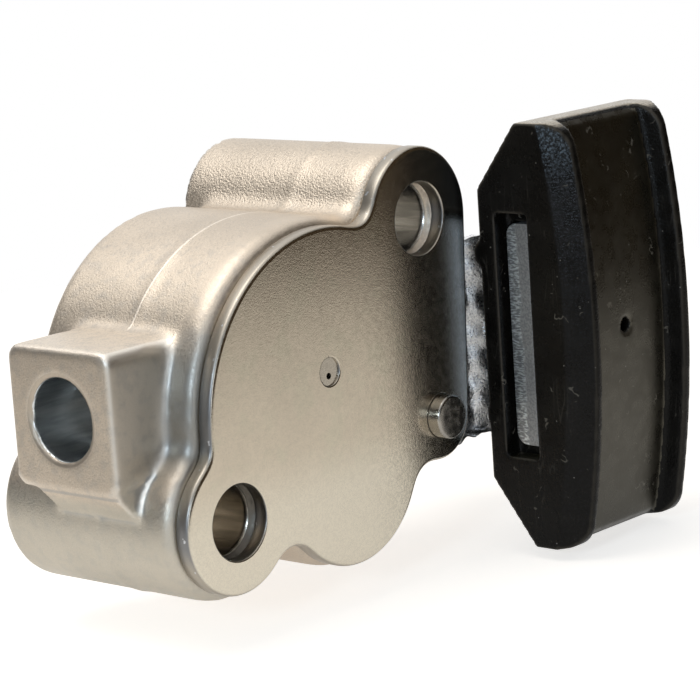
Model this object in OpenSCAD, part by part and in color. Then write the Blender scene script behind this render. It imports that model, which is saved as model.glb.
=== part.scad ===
// Hydraulic timing chain tensioner with a nylon shoe on a spring-loaded plunger.
// Millimetres. The mounting face lies in the XZ plane, the plunger slides towards -Y, Z is up.
// The origin is midway between the two bolt holes, on the mounting face.

/* [Mounting] */
// Half the distance between the bolt axes, across the body
bolt_half_x = 17.55; // [16:0.05:19]
// Half the distance between the bolt axes, up the body
bolt_half_z = 14.9; // [13.5:0.05:16.5]
// Radius of the bolt holes in the casting
bolt_hole_r = 4.2; // [3.3:0.05:4.6]
// Radius of the upper bolt boss
upper_boss_r = 8.9; // [8:0.1:10]
// Radius of the lower bolt boss
lower_boss_r = 9.7; // [8.8:0.1:10.5]
// Depth of the casting from the mounting face to the joint face under the cover
body_depth = 29.4; // [27:0.1:33]
// How far the bolt bosses stand out behind the rest of the casting
boss_stand = 3.1; // [2:0.1:5]
// Chamfer around the upper boss's mounting face
upper_edge = 0.2; // [0.1:0.1:1]
// Chamfer around the lower boss's mounting face
lower_edge = 2.2; // [0.5:0.1:2.6]

/* [Casting] */
// Centre of the round reservoir part, across the body
main_x = -0.45; // [-2:0.05:2]
// Centre of the round reservoir part, up the body
main_z = -4.1; // [-6:0.1:-2]
// Radius of the round reservoir part
main_r = 21.8; // [20:0.1:24]
// Centre of the lower lobe, across the body
lobe_x = 2.85; // [1:0.05:4.5]
// Centre of the lower lobe, up the body
lobe_z = -13.2; // [-14.5:0.1:-12]
// Radius of the lower lobe
lobe_r = 12.2; // [11.6:0.1:13]
// Radius of the rounded corner at the dowel
corner_r = 5.6; // [4.5:0.1:7]
// Radius of the fillets where the bosses meet the round part
valley_r = 3; // [1.5:0.1:4.5]
// Radius of the notches on both sides of the lower lobe
notch_r = 3.8; // [2.5:0.1:5]
// Chamfer along the cast edges
cast_chamfer = 0.9; // [0.4:0.1:1.5]
// Depth of the casting's parting line behind the joint face
parting_depth = 11.5; // [8:0.1:15]
// Height of the flash that is left along the parting line
flash_height = 0.2; // [0.1:0.05:0.5]
// Width of the flash
flash_width = 0.5; // [0.3:0.05:1]
// Radius of the oil reservoir
reservoir_r = 11; // [8:0.1:12]
// Wall behind the reservoir
reservoir_floor = 3; // [2:0.1:4]

/* [Feed tail] */
// End face of the square feed tail
tail_end_x = -30.45; // [-36:0.05:-28]
// Half the width of the square tail
tail_half = 8.4; // [7.5:0.1:9.5]
// Rounding of the tail's long edges
tail_round = 1.6; // [0.5:0.1:3]
// Depth of the feed port's axis behind the joint face
feed_depth = 12.8; // [11:0.1:14]
// Radius of the feed port
feed_r = 4.9; // [4:0.05:6]
// Step from the feed port to the seat of its screen
feed_step = 0.4; // [0.2:0.05:0.8]
// Depth of the rib under the tail, behind the joint face
rib_front = 4.8; // [4:0.1:8]
// Thickness of the rib under the tail
rib_t = 13; // [8:0.1:14]

/* [Barrel] */
// Plunger axis, across the body
axis_x = 40.75; // [39:0.05:44]
// Plunger axis and feed axis, up the body
axis_z = -1.6; // [-3:0.05:0]
// Outer radius of the plunger barrel
barrel_r = 9; // [8:0.1:10]
// Wall at the closed end of the barrel
barrel_end = 3.6; // [2:0.1:5]
// Thickness of the flange between the body and the barrel
flange_t = 3.5; // [2.5:0.1:5]
// Half the height of the flange
flange_half = 12.9; // [11:0.05:14]
// How far the flange's middle lies below the plunger axis
flange_drop = 1; // [0:0.05:2]
// Half the height of the neck behind the flange
neck_half = 6; // [4:0.1:8]
// Length of the oil chamber behind the check valve
rear_len = 3.6; // [3.2:0.1:5]
// Radius of the oil chamber behind the check valve
rear_r = 3.6; // [2.5:0.1:4.5]
// Radius of the oil gallery from the reservoir
gallery_r = 1.5; // [1:0.05:1.55]
// Radius of the gallery's plug
gallery_plug_r = 2.4; // [2:0.05:3]
// Length of the gallery's plug
gallery_plug_len = 3.5; // [2:0.1:4]

/* [Cover] */
// Thickness of the steel cover plate
plate_t = 2; // [1.5:0.1:3]
// How far the round parts and the lower boss of the casting show outside the cover
rim_width = 1; // [0.5:0.1:2]
// Radius of the bolt holes in the cover
plate_hole_r = 4.5; // [4.3:0.05:5]
// Centre of the bleed hole, across the cover
bleed_x = -0.45; // [-3:0.05:3]
// Centre of the bleed hole, up the cover
bleed_z = -0.6; // [-3:0.05:3]
// Radius of the bleed hole in the cover
bleed_r = 1.7; // [1.2:0.05:2.5]
// Radius of the orifice in the bleed jet
jet_orifice_r = 0.4; // [0.2:0.05:0.8]
// How far the orifice lies below the jet's middle
jet_drop = 0.55; // [0:0.05:0.8]
// How far the jet lies below the cover's surface
jet_recess = 0.3; // [0.2:0.05:1.2]
// Dowel axis, across the cover
dowel_x = 19.5; // [18.5:0.05:21]
// Dowel axis, up the cover
dowel_z = -10.1; // [-12:0.05:-8]
// Radius of the dowel
dowel_r = 2.75; // [2:0.05:3.5]
// How far the dowel stands out of the cover
dowel_proud = 1.8; // [0.5:0.1:3]
// Depth of the dowel in the casting
dowel_depth = 9; // [6:0.1:14]
// Radius of the seal's cord
seal_r = 0.7; // [0.5:0.05:0.9]
// Wall between the reservoir and the seal's groove
seal_land = 1.4; // [1:0.1:1.6]

/* [Plunger] */
// Radius of the plunger
plunger_r = 6; // [5.4:0.05:6.4]
// Radial running clearance of the plunger and the guide pin
run_fit = 0.03; // [0.02:0.01:0.08]
// Travel of the plunger
stroke = 9; // [5:0.1:10]
// Radius of the plunger's hollow
hollow_r = 4.3; // [4.2:0.05:4.5]
// Radius of the neck that carries the head plate
plunger_neck_r = 4.5; // [4:0.05:5]
// Radius of the rivet spigot in the head plate
spigot_r = 3; // [2.5:0.05:3.5]
// Height of the swaged rivet head
swage_t = 0.7; // [0.4:0.05:0.9]
// Radius of the oil hole through the plunger
oil_r = 0.8; // [0.5:0.05:1.2]
// Radius of the stop ring's wire
ring_wire_r = 0.5; // [0.4:0.05:0.6]
// Radius of the plunger spring's wire
spring_wire_r = 0.5; // [0.35:0.05:0.55]
// Turns of the plunger spring
spring_turns = 8; // [6:1:10]
// Radius of the volume filler's stem
filler_r = 2.5; // [1.5:0.05:2.8]
// Length of the volume filler's stem
filler_len = 7; // [4:0.1:8]
// Distance of the guide pin below the plunger axis
guide_drop = 10.6; // [10.4:0.05:11.5]
// Radius of the guide pin
guide_r = 1.5; // [1.2:0.05:1.8]
// Depth of the guide pin in its bore
guide_len = 14; // [11:0.1:15]
// Wall around the guide bore
guide_wall = 1.9; // [1.2:0.1:2.5]

/* [Check valve] */
// Thickness of the valve seat
seat_t = 2; // [1.6:0.1:3]
// Radius of the seat's hole
seat_hole_r = 1.4; // [1:0.05:1.6]
// Radius of the check ball
ball_r = 2; // [1.9:0.05:2.2]
// Sheet thickness of the ball's cage
cage_t = 0.4; // [0.3:0.05:0.5]
// Free radial room around the ball
ball_room = 0.4; // [0.3:0.05:0.5]
// Length of the check spring
check_len = 2.2; // [1.8:0.1:3]
// Radius of the check spring's wire
check_wire_r = 0.15; // [0.1:0.01:0.2]

/* [Shoe] */
// Width of the shoe across the chain
shoe_width = 24; // [22:0.1:28]
// Height of the shoe along the chain
shoe_height = 53.8; // [50:0.1:60]
// Gap between the flange and the shoe's back when the plunger is in
shoe_gap = 2; // [1.5:0.1:4]
// Depth of the shoe from its back to the rails' crests
shoe_depth = 15.9; // [14.5:0.1:18]
// Radius of the shoe's curve along the chain
shoe_curve_r = 130; // [90:1:200]
// Height of the rails above the chain's track
rail_height = 2.6; // [1.5:0.1:3.5]
// Drop from a rail's crest to the shoe's side face
rail_flank = 3.4; // [2:0.1:4.5]
// Distance of a rail's crest from the side face
crest_inset = 1.9; // [1:0.1:3]
// Width of a rail's crest
crest_width = 1.3; // [0.8:0.1:2]
// Chamfer at both ends of the chain's track
track_chamfer = 1.2; // [0.5:0.1:2]
// Width of the chain's track between the rails
track_width = 16.4; // [13:0.1:17]
// Half the height of the shoe's flat back
back_half = 18.5; // [17:0.1:22]
// Depth of the chamfers at the back's ends
back_chamfer = 6.3; // [4:0.1:8]
// Rounding of the rails' ends
end_round = 4.2; // [2:0.1:5]
// Wall between the shoe's back and the slot
slot_wall = 2.5; // [2:0.1:2.9]
// Width of the slot's windows in the side faces
window_t = 5.1; // [4.6:0.1:5.5]
// Height of the windows
window_h = 31; // [29.5:0.1:33]
// Depth of the windows from the side faces
window_depth = 2.6; // [2:0.1:4]
// Radius of the oil hole in the chain's track
track_oil_r = 0.9; // [0.5:0.05:1.5]
// Radius of the rounded lugs at the back edge
lug_r = 2.1; // [1.5:0.1:2.6]
// Distance of the lugs from the plunger axis
lug_offset = 10.3; // [9:0.1:12]
// How far the upper lug stands out of the shoe's back
upper_lug = 1.1; // [0.4:0.1:1.4]
// How far the lower lug stands out of the shoe's back
lower_lug = 0.4; // [0.2:0.1:1.4]
// Width of the lugs
lug_width = 4; // [2:0.1:6]

/* [Head plate] */
// Thickness of the steel head plate
head_t = 3.3; // [2.8:0.1:3.6]
// Height of the head plate
head_h = 28.3; // [26:0.1:29]
// How far the head plate's edge lies inside the shoe's side face
head_inset = 1.5; // [1:0.1:2]
// How far the head plate lies in front of the shoe's back
head_back = 3.2; // [3:0.1:3.6]
// Rounding of the head plate's rear edges at its top and bottom
head_round = 1.6; // [0.5:0.1:1.8]

/* [Hidden] */
$fn = 96;
eps = 0.02;
seat_fit = 0.02;

// Planes across the Y axis
joint_y = -body_depth;
plate_y = joint_y - plate_t;
main_back_y = -boss_stand;

// Depths behind the joint face
reservoir_depth = body_depth - boss_stand - reservoir_floor;
gallery_depth = reservoir_depth - gallery_r - 0.2;
bore_depth = gallery_depth - rear_len / 2;
barrel_depth = bore_depth + rear_len + barrel_end;

// Centres in the XZ plane
main_c = [main_x, main_z];
upper_c = [bolt_half_x, bolt_half_z];
lower_c = -upper_c;
lobe_c = [lobe_x, lobe_z];
dowel_c = [dowel_x, dowel_z];
axis_c = [axis_x, axis_z];
guide_c = [axis_x, axis_z - guide_drop];
feed_y = joint_y + feed_depth;
gallery_y = joint_y + gallery_depth;

// Radii of the outline: round part, lobe, upper boss, lower boss and dowel corner
cast_radii = [main_r, lobe_r, upper_boss_r, lower_boss_r, corner_r];
all_round = [1, 1, 1, 1, 1];
rim_share = [1, 0.4, 0, 1, 0];

// Fits
screen_r = feed_r - feed_step;
screen_x = main_x - reservoir_r - 2;
screen_len = 4;
bore_r = plunger_r + run_fit;
guide_bore_r = guide_r + run_fit;
guide_boss_r = guide_r + guide_wall;
guide_bore_depth = guide_len + 1.5;
groove_in_r = reservoir_r + seal_land;
groove_width = 2 * seal_r + 0.4;
groove_depth = 2 * seal_r + seat_fit;
ring_depth = 2.4;
ring_mid_r = bore_r + 0.1;
relief_r = ring_mid_r - ring_wire_r - 0.25;
relief_front = ring_depth - ring_wire_r - 0.3;
relief_back = ring_depth + ring_wire_r + 0.15 + stroke;

// Distances in front of the joint face, along the plunger
seat_front = -bore_depth + seat_t;
flange_front = seat_front + cage_t;
plunger_back = flange_front + 0.6;
hollow_end = -0.4;
filler_flange_t = 0.5;
shoe_back = shoe_gap;
head_rear = shoe_back + head_back;
head_front = head_rear + head_t;
head_corner = min(head_round, head_t / 2);
plunger_front = min(shoe_back - 0.8, 1.2);
slot_rear = shoe_back + slot_wall;
window_front = slot_rear + window_t;
ball_centre = seat_front - (seat_hole_r + 0.8) + ball_r * sqrt(2) + seat_fit;
cage_top = ball_centre + ball_r + check_len;
cage_in_r = ball_r + ball_room;
spring_mid_r = (cage_in_r + cage_t + hollow_r) / 2;

// Shoe
side_x = axis_x - shoe_width / 2;
half_height = shoe_height / 2;
curve_y = joint_y - shoe_back - shoe_depth + shoe_curve_r;
round_z = half_height - end_round;
round_drop = shoe_curve_r - sqrt(pow(shoe_curve_r, 2) - pow(round_z, 2));
round_t = shoe_depth - round_drop - end_round;

// A 2D shape in XZ, drawn from one depth behind the joint face to another
module slab(front, back) {
    translate([0, joint_y + back, 0])
        rotate([90, 0, 0])
            linear_extrude(height = back - front)
                children();
}

// A round bar along Y, from one depth behind the joint face to another
module bar_y(c, front, back, r) {
    translate([c[0], joint_y + back, c[1]])
        rotate([90, 0, 0])
            cylinder(h = back - front, r = r);
}

// A round bar along Y with a chamfer at its front and its back end
module cast_bar(c, front, back, r, front_chamfer, back_chamfer) {
    translate([c[0], joint_y, c[1]])
        rotate([90, 0, 0])
            rotate_extrude()
                polygon([
                    [0, -back],
                    [r - back_chamfer, -back],
                    [r, -back + back_chamfer],
                    [r, -front - front_chamfer],
                    [r - front_chamfer, -front],
                    [0, -front]
                ]);
}

// A round bar along X
module bar_x(from_x, to_x, y, z, r) {
    translate([from_x, y, z])
        rotate([0, 90, 0])
            cylinder(h = to_x - from_x, r = r);
}

// A revolved profile of radius and distance in front of the joint face, on the plunger's axis
module turned(points) {
    translate([axis_x, joint_y, axis_z])
        rotate([90, 0, 0])
            rotate_extrude()
                polygon(points);
}

// A profile of Y and Z, drawn along X
module along_x(from_x, to_x) {
    translate([from_x, 0, 0])
        rotate([90, 0, 90])
            linear_extrude(height = to_x - from_x)
                children();
}

// A box between two corners
module box(low, high) {
    translate(low)
        cube(high - low);
}

// The centre of a fillet that touches two circles from outside, on the left of the line between them
function fillet_c(c1, r1, c2, r2, r, side) =
    let (d = norm(c2 - c1), u = (c2 - c1) / d, v = [-u[1], u[0]])
    let (a = (pow(r1 + r, 2) - pow(r2 + r, 2) + d * d) / (2 * d))
    c1 + a * u + side * sqrt(pow(r1 + r, 2) - a * a) * v;

module fillet(c1, r1, c2, r2, r, side) {
    f = fillet_c(c1, r1, c2, r2, r, side);
    difference() {
        polygon([c1, c2, f]);
        translate(f)
            circle(r = r - eps / 2);
    }
}

// A slab of the outline that the casting and its cover share, with its own radii.
// The round part ends at the height of the lobe, which carries on below it between two notches.
module outline_slab(front, back, radii) {
    d = dowel_c - upper_c;
    a = atan2(d[1], d[0]) + acos((radii[2] - radii[4]) / norm(d));
    n = [cos(a), sin(a)];
    difference() {
        bar_y(main_c, front, back, radii[0]);
        box([main_x - main_r - 1, joint_y + front - 1, lobe_z - main_r],
            [main_x + main_r + 1, joint_y + back + 1, lobe_z]);
    }
    bar_y(lobe_c, front, back, radii[1]);
    bar_y(upper_c, front, back, radii[2]);
    bar_y(lower_c, front, back, radii[3]);
    bar_y(dowel_c, front, back, radii[4]);
    slab(front, back)
        polygon([main_c, dowel_c, dowel_c + (radii[4] - eps) * n, upper_c + (radii[2] - eps) * n, upper_c]);
    slab(front, back)
        fillet(main_c, radii[0], upper_c, radii[2], valley_r, 1);
    slab(front, back)
        fillet(main_c, radii[0], lower_c, radii[3], valley_r, -1);
    slab(front, back)
        fillet(lobe_c, radii[1], lower_c, radii[3], notch_r, 1);
    slab(front, back)
        fillet(lobe_c, radii[1], dowel_c, radii[4], notch_r, -1);
}

module rounded_square(half, r) {
    square([2 * (half - r), 2 * half], center = true);
    square([2 * half, 2 * (half - r)], center = true);
    for (x = [-1, 1], y = [-1, 1])
        translate([x * (half - r), y * (half - r)])
            circle(r = r);
}

// The flange's outline, from inside the body to its round end at the barrel
module flange_outline() {
    middle = axis_z - flange_drop;
    translate([main_x, middle - flange_half])
        square([axis_x - main_x, 2 * flange_half]);
    translate([axis_x, middle])
        circle(r = flange_half);
}

// The casting's outer form
module casting() {
    back = body_depth - boss_stand;
    outline_slab(cast_chamfer, back - cast_chamfer, cast_radii);
    outline_slab(0, 2 * cast_chamfer, cast_radii - cast_chamfer * all_round);
    outline_slab(back - 2 * cast_chamfer, back, cast_radii - cast_chamfer * all_round);
    cast_bar(upper_c, 0, body_depth, upper_boss_r, cast_chamfer, upper_edge);
    cast_bar(lower_c, 0, body_depth, lower_boss_r, cast_chamfer, lower_edge);
    outline_slab(parting_depth - flash_width / 2, parting_depth + flash_width / 2,
        cast_radii + flash_height * all_round);
    tail();
    slab(0, flange_t)
        flange_outline();
    cast_bar(axis_c, 0, barrel_depth, barrel_r, eps, cast_chamfer);
    cast_bar(guide_c, 0, guide_bore_depth + 2, guide_boss_r, eps, cast_chamfer);
    slab(0, barrel_depth - 2 * cast_chamfer)
        translate([main_x, axis_z - neck_half])
            square([axis_x - main_x, 2 * neck_half]);
    bar_x(axis_x, axis_x + barrel_r + 1.5, gallery_y, axis_z, gallery_plug_r + 1.8);
}

// The square tail with the oil feed port, and the rib that carries it on the lower boss
module tail() {
    bottom = axis_z - tail_half;
    translate([tail_end_x, feed_y, axis_z])
        rotate([90, 0, 90])
            linear_extrude(height = main_x - tail_end_x)
                rounded_square(tail_half, tail_round);
    slab(rib_front, rib_front + rib_t)
        polygon([
            [tail_end_x + 0.6, bottom + 1],
            [tail_end_x + 0.6, bottom - 0.6],
            [tail_end_x + 1.4, bottom - 1.4],
            lower_c + [0.5 - lower_boss_r, 1],
            lower_c,
            [lower_c[0], bottom + 1]
        ]);
}

module housing() {
    color("gainsboro")
        difference() {
            casting();
            for (c = [upper_c, lower_c])
                bar_y(c, -1, body_depth + 1, bolt_hole_r);
            bar_y(main_c, -1, reservoir_depth, reservoir_r);
            difference() {
                bar_y(main_c, -1, groove_depth, groove_in_r + groove_width);
                bar_y(main_c, -2, groove_depth + 1, groove_in_r);
            }
            bar_y(dowel_c, -1, dowel_depth + 0.5, dowel_r);
            feed_port();
            plunger_bore();
            bar_y(guide_c, -1, guide_bore_depth, guide_bore_r);
            gallery();
        }
}

// The feed port, with a shoulder in front of its screen and a broken edge at the mouth
module feed_port() {
    bar_x(tail_end_x - 1, screen_x - screen_len - 0.6, feed_y, axis_z, feed_r);
    bar_x(tail_end_x, main_x - reservoir_r / 2, feed_y, axis_z, screen_r);
    translate([tail_end_x - eps, feed_y, axis_z])
        rotate([0, 90, 0])
            cylinder(h = 0.2, r1 = feed_r + 0.2, r2 = feed_r);
}

module plunger_bore() {
    bar_y(axis_c, -1, bore_depth, bore_r);
    bar_y(axis_c, bore_depth - 1, bore_depth + rear_len, rear_r);
    groove_half = ring_wire_r + 0.1;
    bar_y(axis_c, ring_depth - groove_half, ring_depth + groove_half, ring_mid_r + groove_half);
    translate([axis_x, joint_y - eps, axis_z])
        rotate([-90, 0, 0])
            cylinder(h = 0.6, r1 = bore_r + 0.6, r2 = bore_r);
}

// The drilled oil way from the reservoir to the check valve, open at the barrel's side for its plug
module gallery() {
    end_x = axis_x + barrel_r + 1.5;
    bar_x(main_x, end_x + 1, gallery_y, axis_z, gallery_r);
    bar_x(end_x - gallery_plug_len - 0.5, end_x + 1, gallery_y, axis_z, gallery_plug_r);
}

module cover_plate() {
    color("silver")
        difference() {
            outline_slab(-plate_t, 0, cast_radii - rim_width * rim_share);
            for (c = [upper_c, lower_c])
                bar_y(c, -plate_t - 1, 1, plate_hole_r);
            bar_y([bleed_x, bleed_z], -plate_t - 1, 1, bleed_r);
            bar_y(dowel_c, -plate_t - 1, 1, dowel_r);
        }
}

module cover_dowel() {
    color("lightgrey")
        cast_bar(dowel_c, -plate_t - dowel_proud, dowel_depth, dowel_r, 0.45, 0.45);
}

module cover_seal() {
    color("black")
        translate([main_x, joint_y + groove_depth / 2, main_z])
            rotate([90, 0, 0])
                rotate_extrude()
                    translate([groove_in_r + groove_width / 2, 0])
                        circle(r = seal_r, $fn = 32);
}

module bleed_jet() {
    color("silver")
        difference() {
            bar_y([bleed_x, bleed_z], jet_recess - plate_t, 0, bleed_r);
            bar_y([bleed_x, bleed_z - jet_drop], -plate_t, 1, jet_orifice_r);
        }
}

// A pressed cup with drilled holes, inside the feed port
module feed_screen() {
    sheet = 0.5;
    mouth_x = screen_x - screen_len;
    color("silver")
        difference() {
            bar_x(mouth_x, screen_x, feed_y, axis_z, screen_r);
            bar_x(mouth_x - 1, screen_x - sheet, feed_y, axis_z, screen_r - sheet);
            bar_x(mouth_x, screen_x + 1, feed_y, axis_z, 0.6);
            for (a = [0 : 45 : 315])
                translate([0, feed_y, axis_z])
                    rotate([a, 0, 0])
                        bar_x(mouth_x, screen_x + 1, 0.55 * screen_r, 0, 0.6);
        }
}

module gallery_plug() {
    end_x = axis_x + barrel_r + 1.5;
    color("lightgrey")
        bar_x(end_x - gallery_plug_len - 0.4, end_x - 0.4, gallery_y, axis_z, gallery_plug_r);
}

module valve_seat() {
    color("grey")
        turned([
            [seat_hole_r, -bore_depth],
            [bore_r, -bore_depth],
            [bore_r, seat_front],
            [seat_hole_r + 0.8, seat_front],
            [seat_hole_r, seat_front - 0.8]
        ]);
}

module check_ball() {
    color("lightgrey")
        translate([axis_x, joint_y - ball_centre, axis_z])
            sphere(r = ball_r);
}

// The pressed cage that keeps the ball over its seat, with three oil windows
module valve_cage() {
    color("silver")
        difference() {
            turned([
                [cage_in_r, seat_front],
                [bore_r - 0.3, seat_front],
                [bore_r - 0.3, flange_front],
                [cage_in_r + cage_t, flange_front],
                [cage_in_r + cage_t, cage_top + cage_t],
                [oil_r, cage_top + cage_t],
                [oil_r, cage_top],
                [cage_in_r, cage_top]
            ]);
            for (a = [90, 210, 330])
                translate([axis_x, joint_y - flange_front - 0.6, axis_z])
                    rotate([0, a, 0])
                        translate([0, -1.6, -0.7])
                            cube([cage_in_r + cage_t + 1, 1.6, 1.4]);
        }
}

// Height along a coil spring with closed end turns, as a share of its turns
function coil_rise(turn, turns, length, wire) =
    let (closed = 2.3 * wire, open = (length - 2 * wire - 2 * closed) / (turns - 2))
    turn < 1 ? closed * turn
    : turn > turns - 1 ? length - 2 * wire - closed * (turns - turn)
    : closed + open * (turn - 1);

// A coil spring on the plunger's axis, from one distance in front of the joint face to another
module coil(from, to, mid_r, wire, turns, steps, sides) {
    n = turns * steps;
    rings = [
        for (i = [0 : n], k = [0 : sides - 1])
            let (a = 360 * i / steps, b = 360 * k / sides, r = mid_r + wire * cos(b))
            [r * cos(a), r * sin(a), wire + coil_rise(i / steps, turns, to - from, wire) + wire * sin(b)]
    ];
    sheet = [
        for (i = [0 : n - 1], k = [0 : sides - 1])
            let (p = i * sides, q = p + sides, m = (k + 1) % sides)
            [p + m, q + m, q + k, p + k]
    ];
    first = [for (k = [0 : sides - 1]) k];
    last = [for (k = [sides - 1 : -1 : 0]) n * sides + k];
    translate([axis_x, joint_y - from, axis_z])
        rotate([90, 0, 0])
            polyhedron(points = rings, faces = concat(sheet, [last, first]));
}

module check_spring() {
    color("silver")
        coil(ball_centre + ball_r * 0.9, cage_top, 1.2, check_wire_r, 5, 14, 6);
}

module plunger_spring() {
    color("silver")
        coil(flange_front, hollow_end - filler_flange_t, spring_mid_r, spring_wire_r, spring_turns, 16, 8);
}

// The moulded filler that takes up oil volume inside the spring
module volume_filler() {
    rear = hollow_end - filler_flange_t;
    color("ivory")
        turned([
            [oil_r, hollow_end],
            [hollow_r - 0.1, hollow_end],
            [hollow_r - 0.1, rear],
            [filler_r, rear],
            [filler_r, rear - filler_len + 0.5],
            [filler_r - 0.5, rear - filler_len],
            [oil_r, rear - filler_len]
        ]);
}

module plunger() {
    color("lightgrey")
        turned([
            [oil_r, head_front + swage_t],
            [spigot_r + 0.3, head_front + swage_t],
            [spigot_r + 0.7, head_front],
            [spigot_r, head_front],
            [spigot_r, head_rear],
            [plunger_neck_r, head_rear],
            [plunger_neck_r, plunger_front],
            [plunger_r - 0.5, plunger_front],
            [plunger_r, plunger_front - 0.5],
            [plunger_r, -relief_front],
            [relief_r, -relief_front],
            [relief_r, -relief_back],
            [plunger_r, -relief_back],
            [plunger_r, plunger_back + 0.4],
            [plunger_r - 0.4, plunger_back],
            [hollow_r, plunger_back],
            [hollow_r, hollow_end],
            [oil_r, hollow_end]
        ]);
}

// The split wire ring that keeps the plunger in the barrel
module stop_ring() {
    color("silver")
        translate([axis_x, joint_y + ring_depth, axis_z])
            rotate([90, 105, 0])
                rotate_extrude(angle = 330)
                    translate([ring_mid_r, 0])
                        circle(r = ring_wire_r, $fn = 24);
}

module guide_pin() {
    color("lightgrey")
        cast_bar(guide_c, -head_front, guide_len, guide_r, 0.2, 0.4);
}

// The stamped plate riveted to the plunger, on which the shoe is slid
module head_plate() {
    half = head_h / 2;
    color("silver")
        difference() {
            along_x(side_x + head_inset, side_x + shoe_width - head_inset)
                translate([joint_y - head_rear - head_corner, axis_z]) {
                    translate([head_corner - head_t, -half])
                        square([head_t - head_corner, head_h]);
                    translate([0, head_corner - half])
                        square([head_corner, head_h - 2 * head_corner]);
                    for (s = [-1, 1])
                        translate([0, s * (half - head_corner)])
                            circle(r = head_corner);
                }
            bar_y(axis_c, -head_front - 1, 1 - head_rear, spigot_r);
            bar_y(guide_c, -head_front - 1, 1 - head_rear, guide_r);
        }
}

// The shoe's chain side: two rails beside the track, revolved about the centre of its curve
module shoe_face() {
    half = shoe_width / 2;
    crest = shoe_curve_r;
    inner = shoe_curve_r - shoe_depth - 1;
    spread = asin(half_height / inner) + 1;
    translate([axis_x, curve_y, axis_z])
        rotate([0, 90, 0])
            rotate([0, 0, -90 - spread])
                rotate_extrude(angle = 2 * spread, $fn = 480)
                    polygon([
                        [inner, -half],
                        [crest - rail_flank, -half],
                        [crest, crest_inset - half],
                        [crest, crest_inset + crest_width - half],
                        [crest - rail_height, -track_width / 2],
                        [crest - rail_height, track_width / 2],
                        [crest, half - crest_inset - crest_width],
                        [crest, half - crest_inset],
                        [crest - rail_flank, half],
                        [inner, half]
                    ]);
}

// The shoe's side profile: flat back, chamfered back corners and rounded rail ends
module shoe_side() {
    back_y = joint_y - shoe_back;
    along_x(side_x, side_x + shoe_width) {
        for (s = [-1, 1]) {
            translate([back_y - round_t, axis_z + s * round_z])
                circle(r = end_round);
            translate([back_y, axis_z])
                polygon([
                    [0, 0],
                    [0, s * back_half],
                    [-back_chamfer, s * half_height],
                    [-round_t, s * half_height],
                    [-round_t, s * round_z],
                    [-shoe_depth - 1, s * round_z],
                    [-shoe_depth - 1, 0]
                ]);
        }
    }
}

module shoe() {
    back_y = joint_y - shoe_back;
    color("dimgrey")
        difference() {
            union() {
                intersection() {
                    shoe_face();
                    shoe_side();
                }
                bar_x(side_x, side_x + lug_width, back_y + upper_lug - lug_r, axis_z + lug_offset, lug_r);
                bar_x(side_x, side_x + lug_width, back_y + lower_lug - lug_r, axis_z - lug_offset, lug_r);
            }
            head_slot();
            track_ends();
            bar_y(axis_c, -shoe_back - shoe_depth, -window_front + 1, track_oil_r);
        }
}

// The chamfers where the chain runs on to the track and off it
module track_ends() {
    floor_r = shoe_curve_r - rail_height;
    inner = half_height - track_chamfer;
    inner_y = curve_y - sqrt(pow(floor_r, 2) - pow(inner, 2));
    outer_y = curve_y - sqrt(pow(floor_r, 2) - pow(half_height, 2)) + track_chamfer;
    along_x(axis_x - track_width / 2 + 0.15, axis_x + track_width / 2 - 0.15)
        for (s = [-1, 1])
            polygon([
                [inner_y, axis_z + s * inner],
                [outer_y, axis_z + s * half_height],
                [outer_y, axis_z + s * (half_height + 1)],
                [inner_y - 4, axis_z + s * (half_height + 1)],
                [inner_y - 4, axis_z + s * inner]
            ]);
}

// The slot for the head plate, its windows, and the ways in for the plunger's neck and the guide pin
module head_slot() {
    end_x = side_x + shoe_width + 1;
    half = head_h / 2 + seat_fit;
    rear = joint_y - head_rear + seat_fit;
    front = joint_y - head_front - seat_fit;
    neck_room = plunger_neck_r + 0.4;
    head_room = spigot_r + 1.1;
    pin_room = guide_r + 0.4;
    for (x = [side_x - 1, end_x - 1 - window_depth])
        box([x, joint_y - window_front, axis_z - window_h / 2],
            [x + window_depth + 1, joint_y - slot_rear, axis_z + window_h / 2]);
    box([side_x + head_inset - seat_fit, front, axis_z - half], [end_x, rear, axis_z + half]);
    bar_y(axis_c, -head_rear - 0.1, 1 - shoe_back, neck_room);
    box([axis_x, joint_y - head_rear - 0.1, axis_z - neck_room], [end_x, joint_y + 1, axis_z + neck_room]);
    bar_y(axis_c, -window_front, -head_front + 0.1, head_room);
    box([axis_x, joint_y - window_front, axis_z - head_room], [end_x, joint_y - head_front + 0.1, axis_z + head_room]);
    bar_y(guide_c, -head_rear - 0.1, 1 - shoe_back, pin_room);
    box([axis_x, joint_y - head_rear - 0.1, guide_c[1] - pin_room], [end_x, joint_y + 1, guide_c[1] + pin_room]);
}

housing();
cover_plate();
cover_dowel();
cover_seal();
bleed_jet();
feed_screen();
gallery_plug();
valve_seat();
check_ball();
check_spring();
valve_cage();
plunger_spring();
volume_filler();
plunger();
stop_ring();
guide_pin();
head_plate();
shoe();
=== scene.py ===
"""Dresses a chain tensioner's solids as cast, pressed, turned and moulded pieces, and sets the studio."""

import math
from types import SimpleNamespace

import bmesh
import bpy
import numpy as np
from bpy.props import FloatProperty, FloatVectorProperty, IntProperty, PointerProperty
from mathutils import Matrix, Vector, noise
from mathutils.bvhtree import BVHTree


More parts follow.
